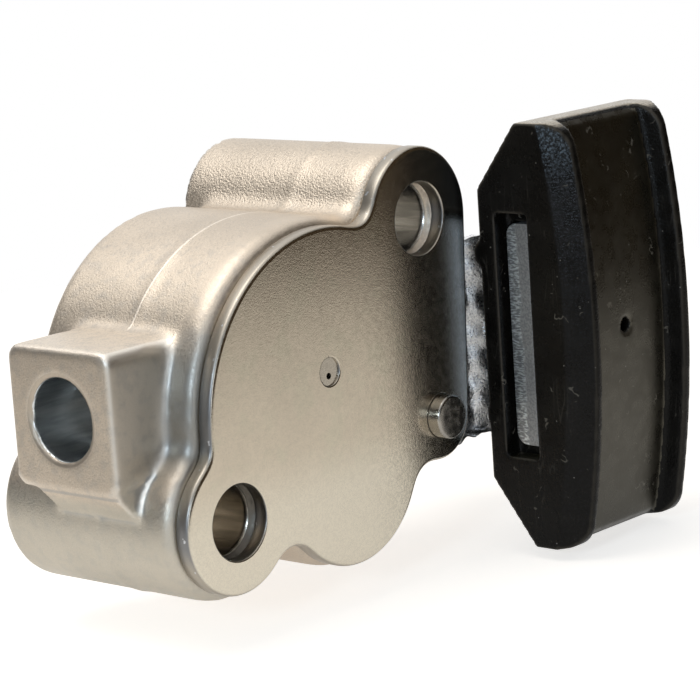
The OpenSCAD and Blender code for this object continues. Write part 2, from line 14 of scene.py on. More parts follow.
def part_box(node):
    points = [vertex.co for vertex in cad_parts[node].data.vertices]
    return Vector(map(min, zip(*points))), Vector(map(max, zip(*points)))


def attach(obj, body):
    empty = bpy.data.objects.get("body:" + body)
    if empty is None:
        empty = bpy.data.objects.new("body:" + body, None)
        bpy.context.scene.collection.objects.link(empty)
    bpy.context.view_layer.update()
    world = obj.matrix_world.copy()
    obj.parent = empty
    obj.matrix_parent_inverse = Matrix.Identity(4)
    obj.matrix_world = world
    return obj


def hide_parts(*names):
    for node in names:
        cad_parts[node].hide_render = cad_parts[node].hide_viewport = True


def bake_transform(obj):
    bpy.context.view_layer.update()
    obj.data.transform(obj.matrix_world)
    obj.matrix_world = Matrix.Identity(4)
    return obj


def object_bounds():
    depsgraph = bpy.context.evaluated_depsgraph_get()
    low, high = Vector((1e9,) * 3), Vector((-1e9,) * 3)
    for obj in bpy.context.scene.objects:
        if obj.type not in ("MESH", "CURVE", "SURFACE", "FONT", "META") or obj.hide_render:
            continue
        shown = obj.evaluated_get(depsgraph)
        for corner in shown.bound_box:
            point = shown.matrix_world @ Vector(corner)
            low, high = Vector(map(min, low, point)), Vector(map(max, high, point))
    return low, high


bl_info = {
    "name": "Chain Tensioner Dressing",
    "version": (1, 0, 0),
    "blender": (4, 5, 0),
    "location": "3D View > Sidebar > Tensioner",
    "description": "Dresses the tensioner's solids as finished pieces and sets the studio",
    "category": "Object",
}

MM = 0.001
WELD_DISTANCE = 0.003 * MM
BOLT_HOLES = ((17.55 * MM, 14.9 * MM), (-17.55 * MM, -14.9 * MM))  # X and Z, the upper one first
BOLT_RADIUS = 4.2 * MM
FEED_AXIS = (-16.6 * MM, -1.6 * MM)  # Y and Z of the feed port in the tail
FEED_RADIUS = 4.9 * MM
CAST_REACH = 0.05 * MM  # how far a fully worn cast edge stands out of its neighbours
MOULD_REACH = 0.03 * MM  # the same for the shoe's moulded edges
STUDIO_AIM = Vector((0.01, -0.025, 0))
FLOOR_CENTRE = (0.01, -0.02)
FLOOR_RADIUS = 0.24

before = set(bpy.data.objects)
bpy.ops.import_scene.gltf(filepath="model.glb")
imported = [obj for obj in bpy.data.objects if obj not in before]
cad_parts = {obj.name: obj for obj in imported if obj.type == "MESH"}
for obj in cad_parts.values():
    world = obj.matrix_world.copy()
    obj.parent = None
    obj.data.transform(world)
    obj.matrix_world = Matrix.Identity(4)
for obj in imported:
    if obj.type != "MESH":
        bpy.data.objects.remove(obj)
cad_bounds = [[float(v) for v in corner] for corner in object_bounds()]


def length(name, description, default):
    return FloatProperty(
        name=name, description=description, default=default, min=0, unit="LENGTH", precision=5
    )


def colour(name, description, default):
    return FloatVectorProperty(
        name=name, description=description, default=default, size=3, min=0, max=1, subtype="COLOR"
    )


def share(name, description, default):
    return FloatProperty(
        name=name, description=description, default=default, min=0, max=1, subtype="FACTOR"
    )


def power(name, description, default):
    return FloatProperty(name=name, description=description, default=default, min=0, unit="POWER")


def rounds(name, description, default):
    return IntProperty(name=name, description=description, default=default, min=0)


class CastingSettings(bpy.types.PropertyGroup):
    """The cast body"""

    cell: length("Cell", "Size of the cells that the casting's skin is rebuilt from", 0.47 * MM)
    edge_passes: rounds("Edge Passes", "How long all cast edges are worn", 5)
    fillet_passes: rounds("Fillet Passes", "How long inner corners are filled", 14)
    rim_passes: rounds("Rim Passes", "How long the rim under the cover is worn", 14)
    lump: length("Lump Height", "Height of the lumps on the flange between body and barrel", 0.6 * MM)
    hollow: length("Flange Hollow", "How far the flange is hollowed beside the cover", 2.5 * MM)
    mouth: length("Hole Mouth", "Width of the broken edge of the bolt holes under the cover", 1.0 * MM)
    metal: colour("Metal", "Colour of the blasted aluminium", (0.69, 0.60, 0.495))
    # Smooth Skin is the colour of painted shade on the side wall beside the cover and on the tail's front
    # face; the skin's smoothness is the lower grain and roughness there
    skin: colour("Smooth Skin", "Colour of the smooth skin between tail and cover", (0.32, 0.305, 0.275))
    # Corner Shade is the colour of painted shade in the inner corners and at the tail's step; the stain
    # patches are darkened towards it too
    shade: colour("Corner Shade", "Colour of the painted_shade in the inner corners", (0.30, 0.31, 0.32))
    roughness: share("Roughness", "Roughness of the cast skin", 0.46)


class CoverSettings(bpy.types.PropertyGroup):
    """The pressed cover plate and its dowel"""

    rounding: length("Edge Rounding", "Rounding that the press left on the plate's front edge", 0.55 * MM)
    broken: length("Broken Edges", "Rounding of the plate's holes and back", 0.22 * MM)
    nose: length("Dowel Nose", "Rounding of the dowel's front end", 0.35 * MM)
    foot: length("Dowel Foot", "Rounding of the dowel's end in the casting", 0.4 * MM)
    dish: length("Dowel Dish", "Depth of the shallow dent in the dowel's front end", 0.05 * MM)
    metal: colour("Metal", "Colour of the rolled steel", (0.71, 0.63, 0.512))
    # Cut Edge is painted light: the edge is paler where it faces up or down, a painted reflection of the
    # bright surroundings, and darker where it faces sideways, painted shade
    edge: colour("Cut Edge", "Colour of the cut edge where it faces up or down", (0.44, 0.40, 0.34))
    roughness: share("Roughness", "Roughness of the rolled face", 0.18)


class ShoeSettings(bpy.types.PropertyGroup):
    """The nylon shoe and the head plate inside it"""

    cell: length("Cell", "Size of the cells that the moulding's skin is rebuilt from", 0.3 * MM)
    edge_passes: rounds("Edge Passes", "How long the moulded edges are rounded", 3)
    nylon: colour("Nylon", "Colour of the nylon", (0.005, 0.0046, 0.004))
    track: colour("Track", "Colour of the nylon that the chain has run in", (0.009, 0.0078, 0.005))
    gloss: share("Gloss", "Specular level of the nylon", 0.14)
    track_gloss: share("Track Gloss", "Specular level of the track", 0.93)
    roughness: share("Roughness", "Roughness of the nylon", 0.27)
    track_roughness: share("Track Roughness", "Roughness of the track", 0.3)
    head_edge: length("Head Edge", "Rounding of the head plate's edges", 0.2 * MM)


class StageSettings(bpy.types.PropertyGroup):
    """The studio"""

    key_power: power("Key Power", "Power of the lamp above", 0.95)
    cool_power: power("Cool Power", "Power of the cool side lamp", 0.5)
    fill: share("Fill", "Strength of the world as a light", 0.36)
    floor_drop: length("Floor Drop", "Distance of the floor below the shoe", 1.5 * MM)


# Meshes


def axis_of(node_name):
    """The X and Z of the axis of a solid that is turned along Y."""
    low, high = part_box(node_name)
    return (low.x + high.x) / 2, (low.z + high.z) / 2


def add_object(name, data):
    made = bpy.data.objects.new(name, data)
    bpy.context.scene.collection.objects.link(made)
    return made


def welded_copy(node_name, name):
    """A new object with a copy of a solid's mesh, its loose triangles welded."""
    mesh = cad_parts[node_name].data.copy()
    mesh.name = name
    mesh.materials.clear()
    if "custom_normal" in mesh.attributes:
        mesh.attributes.remove(mesh.attributes["custom_normal"])
    work = bmesh.new()
    work.from_mesh(mesh)
    bmesh.ops.remove_doubles(work, verts=work.verts, dist=WELD_DISTANCE)
    work.to_mesh(mesh)
    work.free()
    return add_object(name, mesh)


def bake(made):
    """Turns the object's modifiers into plain mesh."""
    graph = bpy.context.evaluated_depsgraph_get()
    mesh = bpy.data.meshes.new_from_object(made.evaluated_get(graph))
    old = made.data
    made.modifiers.clear()
    made.data = mesh
    bpy.data.meshes.remove(old)
    mesh.name = made.name
    if not mesh.polygons:
        raise RuntimeError(f"{made.name} has no faces")
    return mesh


def rebuild_skin(made, cell):
    """Rebuilds the object's skin from even cells."""
    remesh = made.modifiers.new("skin", "REMESH")
    remesh.mode = "VOXEL"
    remesh.voxel_size = cell
    remesh.use_smooth_shade = True
    return bake(made)


def read_points(mesh):
    points = np.empty(len(mesh.vertices) * 3, np.float32)
    mesh.vertices.foreach_get("co", points)
    return points.reshape(-1, 3).astype(float)


def read_normals(mesh):
    normals = np.empty(len(mesh.vertices) * 3, np.float32)
    mesh.vertices.foreach_get("normal", normals)
    return normals.reshape(-1, 3).astype(float)


def read_edges(mesh):
    edges = np.empty(len(mesh.edges) * 2, np.int32)
    mesh.edges.foreach_get("vertices", edges)
    return edges.reshape(-1, 2)


def write_points(mesh, points):
    mesh.vertices.foreach_set("co", points.astype(np.float32).ravel())
    mesh.update()


def neighbour_mean(values, edges):
    """The mean of each point's neighbours, for one number or several a point."""
    table = values.reshape(len(values), -1)
    count = np.maximum(np.bincount(edges.ravel(), minlength=len(table)), 1)
    mean = np.empty_like(table)
    for k in range(table.shape[1]):
        column = table[:, k]
        mean[:, k] = np.bincount(edges[:, 0], column[edges[:, 1]], len(table))
        mean[:, k] += np.bincount(edges[:, 1], column[edges[:, 0]], len(table))
    return (mean / count[:, None]).reshape(values.shape)


def relax(points, edges, weight, passes):
    """Moves each point towards its neighbours' mean, by its own weight."""
    for _ in range(passes):
        points = points + 0.5 * weight[:, None] * (neighbour_mean(points, edges) - points)
    return points


def edge_lift(mesh, reach):
    """How far each point stands out of its neighbours, as a share of reach; negative in inner corners."""
    points, edges = read_points(mesh), read_edges(mesh)
    lift = ((points - neighbour_mean(points, edges)) * read_normals(mesh)).sum(1) / reach
    return 0.5 * (lift + neighbour_mean(lift, edges))


def store(mesh, name, values):
    layer = mesh.attributes.get(name) or mesh.attributes.new(name, "FLOAT", "POINT")
    layer.data.foreach_set("value", values.astype(np.float32))


def tree_of(node_name):
    """A search tree of a solid's faces."""
    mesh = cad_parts[node_name].data
    return BVHTree.FromPolygons([v.co for v in mesh.vertices], [list(p.vertices) for p in mesh.polygons])


def lathe(name, centre, profile, steps):
    """A closed turned piece along Y from a profile of radius and Y, both ends on the axis."""
    work = bmesh.new()
    x, z = centre
    turn = [2 * math.pi * k / steps for k in range(steps)]
    rings = []
    for radius, y in profile:
        places = [(x + radius * math.cos(a), y, z + radius * math.sin(a)) for a in turn]
        rings.append([work.verts.new(place) for place in (places if radius else [(x, y, z)])])
    for one, two in zip(rings, rings[1:]):
        for k in range(steps):
            around = ((one, k), (one, k + 1), (two, k + 1), (two, k))
            corners = [ring[n % len(ring)] for ring, n in around]
            work.faces.new(list(dict.fromkeys(corners)))
    bmesh.ops.recalc_face_normals(work, faces=work.faces)
    mesh = bpy.data.meshes.new(name)
    work.to_mesh(mesh)
    work.free()
    mesh.shade_smooth()
    mesh.set_sharp_from_angle(angle=math.radians(35))
    return add_object(name, mesh)


def outlines(node_name, y):
    """The borders of a flat solid's face at this Y, each as an array of X and Z in order."""
    work = bmesh.new()
    work.from_mesh(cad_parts[node_name].data)
    bmesh.ops.remove_doubles(work, verts=work.verts, dist=WELD_DISTANCE)
    away = [f for f in work.faces if max(abs(v.co.y - y) for v in f.verts) > 0.01 * MM]
    bmesh.ops.delete(work, geom=away, context="FACES")
    work.edges.index_update()
    left = {e.index: e for e in work.edges if e.is_boundary}
    loops = []
    while left:
        edge = left.pop(min(left))
        loop, at = [edge.verts[0]], edge.verts[1]
        while at is not loop[0]:
            loop.append(at)
            edge = left.pop(next(e.index for e in at.link_edges if e.index in left))
            at = edge.other_vert(at)
        loops.append(np.array([(v.co.x, v.co.z) for v in loop]))
    work.free()
    return loops


def softened(loop, step, passes):
    """The closed line again, in even steps, with its corners rounded."""
    shut = np.vstack((loop, loop[:1]))
    run = np.concatenate(([0.0], np.cumsum(np.hypot(*np.diff(shut, axis=0).T))))
    at = np.linspace(0, run[-1], max(24, round(run[-1] / step)), endpoint=False)
    line = np.column_stack([np.interp(at, run, shut[:, k]) for k in (0, 1)])
    for _ in range(passes):
        line = 0.5 * line + 0.25 * (np.roll(line, 1, 0) + np.roll(line, -1, 0))
    return line


def inward(line, outer):
    """The direction into the sheet at each point of a border."""
    along = np.roll(line, -1, 0) - np.roll(line, 1, 0)
    normal = np.column_stack((-along[:, 1], along[:, 0])) / np.hypot(along[:, 0], along[:, 1])[:, None]
    turn = (line[:, 0] * np.roll(line[:, 1], -1) - np.roll(line[:, 0], -1) * line[:, 1]).sum()
    return normal if (turn > 0) == outer else -normal


def rolled_sheet(node_name, name, radius, small):
    """A flat sheet after a solid's outline, its outer front edge rolled over, its other edges broken."""
    low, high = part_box(node_name)
    front, back = low.y, high.y
    work = bmesh.new()
    rims = {front: [], back: []}
    curve = np.radians(range(0, 91, 15))
    loops = [k for k in outlines(node_name, front) if min(np.ptp(k, axis=0)) > MM]
    loops.sort(key=lambda k: -np.ptp(k[:, 0]))
    for k, loop in enumerate(loops):
        size = small if k else radius
        line = softened(loop, 0.4 * MM, 0 if k else 8)
        into = inward(line, k == 0)
        profile = [(small, back), (0.0, back - small)]
        profile += [(size * (1 - math.cos(a)), front + size * (1 - math.sin(a))) for a in curve]
        rings = [[work.verts.new((x, y, z)) for x, z in line + inset * into] for inset, y in profile]
        for one, two in zip(rings, rings[1:]):
            for n in range(len(line)):
                work.faces.new((one[n - 1], one[n], two[n], two[n - 1])).smooth = True
        for ring, y in ((rings[0], back), (rings[-1], front)):
            for n in range(len(line)):
                edge = work.edges.get((ring[n - 1], ring[n]))
                edge.smooth = False
                rims[y].append(edge)
    for edges in rims.values():
        bmesh.ops.triangle_fill(work, use_beauty=True, edges=edges, normal=(0, -1, 0))
    bmesh.ops.recalc_face_normals(work, faces=work.faces)
    mesh = bpy.data.meshes.new(name)
    work.to_mesh(mesh)
    work.free()
    return add_object(name, mesh)


def rounded_edges(made, width, segments):
    """Rounds all sharp edges of a welded solid."""
    work = bmesh.new()
    work.from_mesh(made.data)
    bmesh.ops.dissolve_limit(work, angle_limit=math.radians(0.3), verts=work.verts, edges=work.edges)
    work.to_mesh(made.data)
    work.free()
    made.data.shade_smooth()
    bevel = made.modifiers.new("edges", "BEVEL")
    bevel.width = width
    bevel.segments = segments
    bevel.limit_method = "ANGLE"
    bevel.angle_limit = math.radians(40)
    bevel.harden_normals = True
    return bake(made)


def finish_piece(made, body, slot, material, *nodes):
    """Gives a finished piece its material and its body, and hides the solids that it stands for; the slot
    is not used.
    """
    made.data.materials.clear()
    made.data.materials.append(material)
    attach(made, body)
    if nodes:
        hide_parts(*nodes)


# Materials


def add_node(tree, kind, inputs=None, **settings):
    """A node with its settings, and its inputs either linked or set."""
    made = tree.nodes.new(kind)
    for key, value in settings.items():
        setattr(made, key, value)
    for key, value in (inputs or {}).items():
        if isinstance(value, bpy.types.NodeSocket):
            tree.links.new(value, made.inputs[key])
        else:
            made.inputs[key].default_value = value
    return made


def bare_material(name):
    """A new material with an empty node tree."""
    material = bpy.data.materials.new(name)
    material.use_nodes = True
    material.node_tree.nodes.clear()
    return material


class Finish:
    """A material under construction, with short calls for the patterns that the finishes share."""

    def __init__(self, name, **values):
        self.material = bare_material(name)
        self.tree = self.material.node_tree
        self.shader = add_node(self.tree, "ShaderNodeBsdfPrincipled")
        out = add_node(self.tree, "ShaderNodeOutputMaterial")
        self.tree.links.new(self.shader.outputs["BSDF"], out.inputs["Surface"])
        self.place = add_node(self.tree, "ShaderNodeTexCoord").outputs["Object"]
        axes = add_node(self.tree, "ShaderNodeSeparateXYZ", {"Vector": self.place})
        self.x, self.y, self.z = axes.outputs
        for key, value in values.items():
            self.set(key, value)

    def set(self, key, value):
        socket = self.shader.inputs[key.replace("_", " ").title().replace("Ior", "IOR")]
        if isinstance(value, bpy.types.NodeSocket):
            self.tree.links.new(value, socket)
        else:
            socket.default_value = (*value, 1) if hasattr(value, "__len__") else value

    def cloud(self, size, detail=2.0, stretch=None, roughness=0.5):
        """Noise with features of about this size in metres, stretched along an axis if asked."""
        place = self.place
        if stretch:
            inputs = {"Vector": place, "Scale": stretch}
            place = add_node(self.tree, "ShaderNodeMapping", inputs).outputs[0]
        return add_node(
            self.tree,
            "ShaderNodeTexNoise",
            {"Vector": place, "Scale": 1 / size, "Detail": detail, "Roughness": roughness},
        ).outputs["Fac"]

    def specks(self, spacing, size):
        """Round specks of this size in metres, about this far apart; 1 in a speck."""
        cells = add_node(self.tree, "ShaderNodeTexVoronoi", {"Vector": self.place, "Scale": 1 / spacing})
        return self.span(cells.outputs["Distance"], size / spacing, 0.6 * size / spacing)

    def span(self, value, low, high, to_low=0.0, to_high=1.0):
        """Maps a span of values on to another, smoothly and clamped."""
        return add_node(
            self.tree,
            "ShaderNodeMapRange",
            {"Value": value, "From Min": low, "From Max": high, "To Min": to_low, "To Max": to_high},
            interpolation_type="SMOOTHSTEP",
        ).outputs["Result"]

    def calc(self, operation, a, b=0.0):
        return add_node(self.tree, "ShaderNodeMath", {0: a, 1: b}, operation=operation).outputs[0]

    def times(self, first, *others):
        """The product of masks and strengths."""
        for value in others:
            first = self.calc("MULTIPLY", first, value)
        return first

    def most(self, first, *others):
        """The strongest of several masks."""
        for value in others:
            first = self.calc("MAXIMUM", first, value)
        return first

    def off(self, value, target):
        """How far a value is from a target, either way."""
        return self.calc("ABSOLUTE", self.calc("SUBTRACT", value, target))

    def mix(self, amount, a, b):
        a, b = (v if isinstance(v, bpy.types.NodeSocket) else (*v, 1) for v in (a, b))
        return add_node(self.tree, "ShaderNodeMix", {0: amount, 6: a, 7: b}, data_type="RGBA").outputs[2]

    def coats(self, tone, *rows):
        """Lays coats over a tone, each an amount and the tone that it turns to."""
        for amount, coat in rows:
            tone = self.mix(amount, tone, coat)
        return tone

    def layer(self, name):
        return add_node(self.tree, "ShaderNodeAttribute", attribute_name=name).outputs["Fac"]

    def facing(self):
        """The parts of the normal along X, Y and Z."""
        normal = add_node(self.tree, "ShaderNodeNewGeometry").outputs["Normal"]
        return add_node(self.tree, "ShaderNodeSeparateXYZ", {"Vector": normal}).outputs

    def inside(self, a, b, centre, radius):
        """1 within this radius of an axis, across two of the coordinates."""
        across = self.calc("SUBTRACT", a, centre[0])
        up = self.calc("SUBTRACT", b, centre[1])
        flat = add_node(self.tree, "ShaderNodeCombineXYZ", {0: across, 1: up}).outputs[0]
        far = add_node(self.tree, "ShaderNodeVectorMath", {0: flat}, operation="LENGTH").outputs["Value"]
        return self.span(far, radius + 0.1 * MM, radius)

    def bump(self, height, depth, strength):
        inputs = {"Height": height, "Distance": depth, "Strength": strength}
        return add_node(self.tree, "ShaderNodeBump", inputs).outputs["Normal"]


def tinted(tone, factor):
    return tuple(min(1.0, c * factor) for c in tone)


CAST_TONES = SimpleNamespace(
    # painted light: the tail's upward faces are made paler
    top=(0.82, 0.735, 0.63),
    bright_grain=(0.9, 0.83, 0.73),
    # painted shade: the lower boss under the tail is darkened
    lower_boss=(0.51, 0.51, 0.456),
    # painted highlight along the upward-facing lip outside the rim
    lip_highlight=(0.97, 0.92, 0.84),
    # painted highlight along the convex edges
    painted_edge_highlight=(0.86, 0.81, 0.74),
    seam=(0.88, 0.80, 0.70),
    # painted sheen: the flange's lumps are paler and bluer than the metal
    flange=((0.66, 0.68, 0.71), (1.0, 1.0, 1.0)),
    # painted shade in the lower bolt hole's mouth under the cover
    covered_mouth=(0.15, 0.135, 0.115),
    # painted light and shade: each bore of the same metal has its own tone
    upper_bore=((0.62, 0.60, 0.56), (0.95, 0.93, 0.89)),
    lower_bore=((0.50, 0.465, 0.41), (0.80, 0.745, 0.66)),
    feed_bore=((0.72, 0.75, 0.77), (0.97, 1.0, 1.0)),
)
PLATE_TONES = SimpleNamespace(
    stain=(0.64, 0.60, 0.475),
    # painted reflection of the floor: the plate is paler towards the bottom
    low_lobe=(0.77, 0.715, 0.60),
    # painted reflection of the black shoe: a darker strip and a near-black border on the plate's right
    strip=(0.42, 0.44, 0.455),
    border=(0.14, 0.145, 0.15),
    # painted shade on the cut edge where it faces sideways
    side_edge=(0.24, 0.24, 0.245),
    # painted glint: pale bluish specks on the cut edge
    edge_glint=(0.7, 0.72, 0.75),
)
HEAD_TONES = SimpleNamespace(
    # the pale band's bluish white is partly a painted glint
    pale=((0.33, 0.37, 0.42), (0.86, 0.94, 1.0)),
    torn=((0.29, 0.305, 0.32), (0.41, 0.43, 0.455)),
)
NYLON_TONES = SimpleNamespace(
    # painted highlight along the moulded edges
    painted_edge_highlight=(0.07, 0.062, 0.05),
    scratch=(0.08, 0.075, 0.065),
    lint=(0.30, 0.28, 0.24),
    glint=(0.052, 0.049, 0.062),
    cool_glint=(0.18, 0.25, 0.31),
    # painted light on the shoe's top end face
    painted_top_light=(0.66, 0.57, 0.44),
    dust=(0.36, 0.345, 0.32),
)


def cast_zones(f):
    """Masks of the casting's areas, from the place of a point and the way its face looks."""
    facing = f.facing()
    beside = f.span(f.x, -11 * MM, -14 * MM)  # the side that the feed tail is on
    rim = f.span(f.y, -25.1 * MM, -26.0 * MM)  # the edge that carries the cover
    # The tail and the walls at its height
    left = f.times(beside, f.span(f.z, -14 * MM, -11 * MM), f.span(f.z, 7.6 * MM, 6.4 * MM))
    outside_rim = f.calc("SUBTRACT", left, rim)
    upper, lower = (f.inside(f.x, f.z, hole, BOLT_RADIUS + 0.1 * MM) for hole in BOLT_HOLES)
    port = f.inside(f.y, f.z, FEED_AXIS, FEED_RADIUS + 0.05 * MM)
    port = f.times(port, f.span(f.x, -10 * MM, -11 * MM))
    port_mouth = f.inside(f.y, f.z, FEED_AXIS, FEED_RADIUS + 0.6 * MM)
    covered_mouth = f.inside(f.x, f.z, BOLT_HOLES[1], BOLT_RADIUS + 1.2 * MM)
    step = f.span(f.off(f.z, -10.3 * MM), 0.35 * MM, 0.1 * MM)  # where the tail's end meets the lower boss
    return SimpleNamespace(
        beside=beside,
        rim=rim,
        left=left,
        wall=f.times(beside, rim, f.span(f.z, -10 * MM, -6 * MM), f.span(f.z, 10 * MM, 3 * MM)),
        tail=f.times(left, f.span(facing[1], -0.5, -0.85)),
        top=f.times(f.span(f.x, -19 * MM, -21 * MM), f.span(facing[2], 0.6, 0.9)),
        lip_highlight=f.times(outside_rim, f.span(facing[2], 0.08, 0.35), f.span(facing[1], -0.3, -0.5)),
        step=f.times(step, f.span(f.x, -27.5 * MM, -29 * MM), f.span(facing[0], -0.5, -0.8)),
        boss=f.times(f.span(f.z, 13 * MM, 15.5 * MM), f.span(f.x, 6 * MM, 9 * MM)),
        lower_boss=f.times(f.span(f.z, -10.5 * MM, -12.5 * MM), f.span(f.x, -6 * MM, -12 * MM)),
        flange=f.times(f.span(f.x, 24.5 * MM, 26 * MM), f.span(f.y, -25 * MM, -26 * MM)),
        upper=upper,
        lower=lower,
        port=port,
        bore=f.most(port, upper, lower),
        port_mouth=f.times(port_mouth, f.span(f.x, -29.6 * MM, -30.1 * MM)),
        covered_mouth=f.times(covered_mouth, f.span(f.y, -27 * MM, -27.5 * MM)),
    )


def cast_lines(f, zone):
    """The parting seam over the top, at a slant, and the line that a slide left on the wall."""
    slanted = f.calc("ADD", f.y, f.times(f.calc("ADD", f.x, 17 * MM), 0.07))
    seam = f.span(f.off(slanted, -17.8 * MM), 0.22 * MM, 0.08 * MM)
    seam = f.times(seam, f.span(f.z, 6.9 * MM, 7.3 * MM), f.span(f.x, 6 * MM, 4 * MM))
    slide = f.span(f.off(f.y, -25 * MM), 0.25 * MM, 0.08 * MM)
    return f.most(seam, f.times(slide, f.calc("SUBTRACT", zone.left, zone.tail)))


def bore_coats(f, zone):
    """Drilled walls, streaked along each bore's axis, in painted tones of light and shade: the feed bore
    bluish white, the upper bore pale grey, the lower bore darker and browner.
    """
    along_y = f.span(f.cloud(0.9 * MM, 2, stretch=(1, 0.12, 1)), 0.35, 0.65)
    along_x = f.span(f.cloud(0.9 * MM, 2, stretch=(0.12, 1, 1)), 0.35, 0.65)
    return (
        (zone.upper, f.mix(along_y, *CAST_TONES.upper_bore)),
        (zone.lower, f.mix(along_y, *CAST_TONES.lower_bore)),
        (zone.port, f.mix(along_x, *CAST_TONES.feed_bore)),
    )


def blasted_aluminium(settings):
    """Blasted cast aluminium: sand grain, a smooth skin beside the cover and seams, with painted light and
    shade: highlights on the edges and the lip, a paler tail top, a darker tail front, side wall, lower
    boss, inner corners and hole mouths, a bluish sheen on the flange and bores in painted tones.
    """
    f = Finish("blasted_aluminium", metallic=1.0)
    zone = cast_zones(f)
    line = cast_lines(f, zone)
    edge = f.layer("edge")
    fine, grain, patch = f.cloud(0.14 * MM, 2), f.cloud(0.26 * MM, 2), f.cloud(9 * MM, 3)
    sand = f.calc("SUBTRACT", 1.0, f.most(f.times(zone.rim, 0.45), zone.wall, zone.tail))
    sand = f.times(sand, f.span(zone.boss, 0, 1, 0.8, 1.0), f.span(zone.bore, 0, 1, 1.0, 0.1))
    stain = f.times(f.span(f.cloud(1.5 * MM, 3), 0.45, 0.7, 0, 0.22), f.span(f.x, -6 * MM, -12 * MM))
    # how much of the painted corner shade is kept: less on the rim under the cover
    corner_shade_share = f.span(f.calc("SUBTRACT", zone.rim, zone.beside), 0, 1, 1.0, 0.3)
    tone = f.coats(
        f.mix(f.span(patch, 0.35, 0.65), tinted(settings.metal, 0.9), settings.metal),
        # painted light on the tail's upward faces
        (f.times(zone.top, 0.8), CAST_TONES.top),
        (f.times(sand, f.span(grain, 0.52, 0.36, 0, 0.5)), tinted(settings.metal, 0.6)),
        (f.times(sand, f.span(fine, 0.56, 0.7, 0, 0.5)), CAST_TONES.bright_grain),
        # painted shade on the tail's front face, strongest towards the body
        (f.times(zone.tail, f.span(f.x, -29 * MM, -21 * MM, 0.55, 0.85)), tinted(settings.skin, 1.85)),
        # painted shade on the side wall beside the cover
        (zone.wall, settings.skin),
        (stain, settings.shade),
        # painted shade on the lower boss under the tail
        (f.times(zone.lower_boss, 0.5), CAST_TONES.lower_boss),
        # painted shade in the inner corners
        (f.times(f.span(edge, -0.15, -0.8, 0, 0.7), corner_shade_share), settings.shade),
        # painted highlight along the lip outside the rim
        (f.times(zone.lip_highlight, 0.85), CAST_TONES.lip_highlight),
        # painted highlight on the edges that stand out
        (f.span(edge, 0.3, 1.1, 0, 0.4), CAST_TONES.painted_edge_highlight),
        # painted shade in the crease where the tail's end meets the lower boss
        (f.times(zone.step, 0.5), settings.shade),
        (f.times(line, f.span(grain, 0.3, 0.5, 0.4, 0.9)), CAST_TONES.seam),
        # painted sheen on the flange's lumps
        (zone.flange, f.mix(f.span(grain, 0.35, 0.65), *CAST_TONES.flange)),
        # painted shade on the edge of the feed port's mouth, over its painted highlight
        (f.times(zone.port_mouth, f.span(edge, 0.1, 0.5)), tinted(settings.metal, 0.75)),
        # painted shade in the lower bolt hole's mouth under the cover
        (zone.covered_mouth, CAST_TONES.covered_mouth),
        *bore_coats(f, zone),
    )
    f.set("base_color", tone)
    even = f.mix(zone.bore, grain, (0.5, 0.5, 0.5))
    rough = f.span(even, 0.3, 0.7, settings.roughness - 0.06, settings.roughness + 0.06)
    smooth = f.most(f.times(zone.wall, 0.03), f.times(zone.bore, 0.2), f.times(zone.flange, 0.14))
    f.set("roughness", f.calc("SUBTRACT", rough, smooth))
    skin = f.calc("ADD", f.times(fine, 0.5), f.times(grain, f.span(zone.boss, 0, 1, 0.8, 2.1)))
    skin = f.times(skin, f.calc("ADD", f.times(sand, 0.9), 0.1), f.span(zone.bore, 0, 1, 1.0, 0.15))
    skin = f.calc("ADD", skin, f.times(zone.flange, grain, 0.9))
    skin = f.calc("ADD", skin, f.times(line, 0.5))
    f.set("normal", f.bump(skin, 0.07 * MM, strength=0.8))
    return f.material


def rolled_steel(settings):
    """Rolled steel sheet: a half mirror with fine grain on its faces and a smooth cut edge, with painted
    reflections: paler low on the face, a darker strip and a dark border on the right, the cut edge pale
    where it faces up or down and dark where it faces sideways, and glints on the edge.
    """
    f = Finish("rolled_steel", metallic=1.0)
    facing = f.facing()
    side = f.span(f.off(facing[1], 0.0), 0.97, 0.6)
    grain, coarse = f.cloud(0.13 * MM, 2), f.cloud(0.25 * MM, 2)
    patch, stain, edge_glint = f.cloud(7 * MM, 3), f.cloud(3 * MM, 3), f.cloud(0.8 * MM, 2)
    face = f.coats(
        f.mix(f.span(patch, 0.35, 0.65), tinted(settings.metal, 0.95), settings.metal),
        (f.span(stain, 0.45, 0.7, 0, 0.5), PLATE_TONES.stain),
        # painted reflection of the floor, paler towards the bottom
        (f.span(f.z, -8 * MM, -16 * MM, 0, 0.9), PLATE_TONES.low_lobe),
        # painted reflection of the black shoe: a darker strip and a near-black border on the right
        (f.span(f.x, 20 * MM, 24 * MM, 0, 0.9), PLATE_TONES.strip),
        (f.span(f.x, 24.2 * MM, 25.4 * MM, 0, 0.85), PLATE_TONES.border),
        (
            f.times(f.span(coarse, 0.42, 0.58), f.span(f.x, 4 * MM, 18 * MM, 0.08, 0.35)),
            tinted(settings.metal, 0.4),
        ),
    )
    # painted reflection and shade on the cut edge: pale where it faces up or down, dark where it faces
    # sideways
    cut = f.mix(f.span(f.off(facing[2], 0.0), 0.1, 0.55), PLATE_TONES.side_edge, settings.edge)
    # painted glints on the cut edge
    cut = f.mix(f.span(edge_glint, 0.68, 0.74), cut, PLATE_TONES.edge_glint)
    f.set("base_color", f.mix(side, face, cut))
    rough = f.span(f.cloud(0.9 * MM, 3), 0.3, 0.7, settings.roughness - 0.02, settings.roughness + 0.03)
    f.set("roughness", f.calc("ADD", rough, f.times(side, 0.2)))
    skin = f.calc("ADD", grain, f.times(coarse, 0.85))
    f.set("normal", f.bump(skin, 0.009 * MM, strength=0.8))
    return f.material


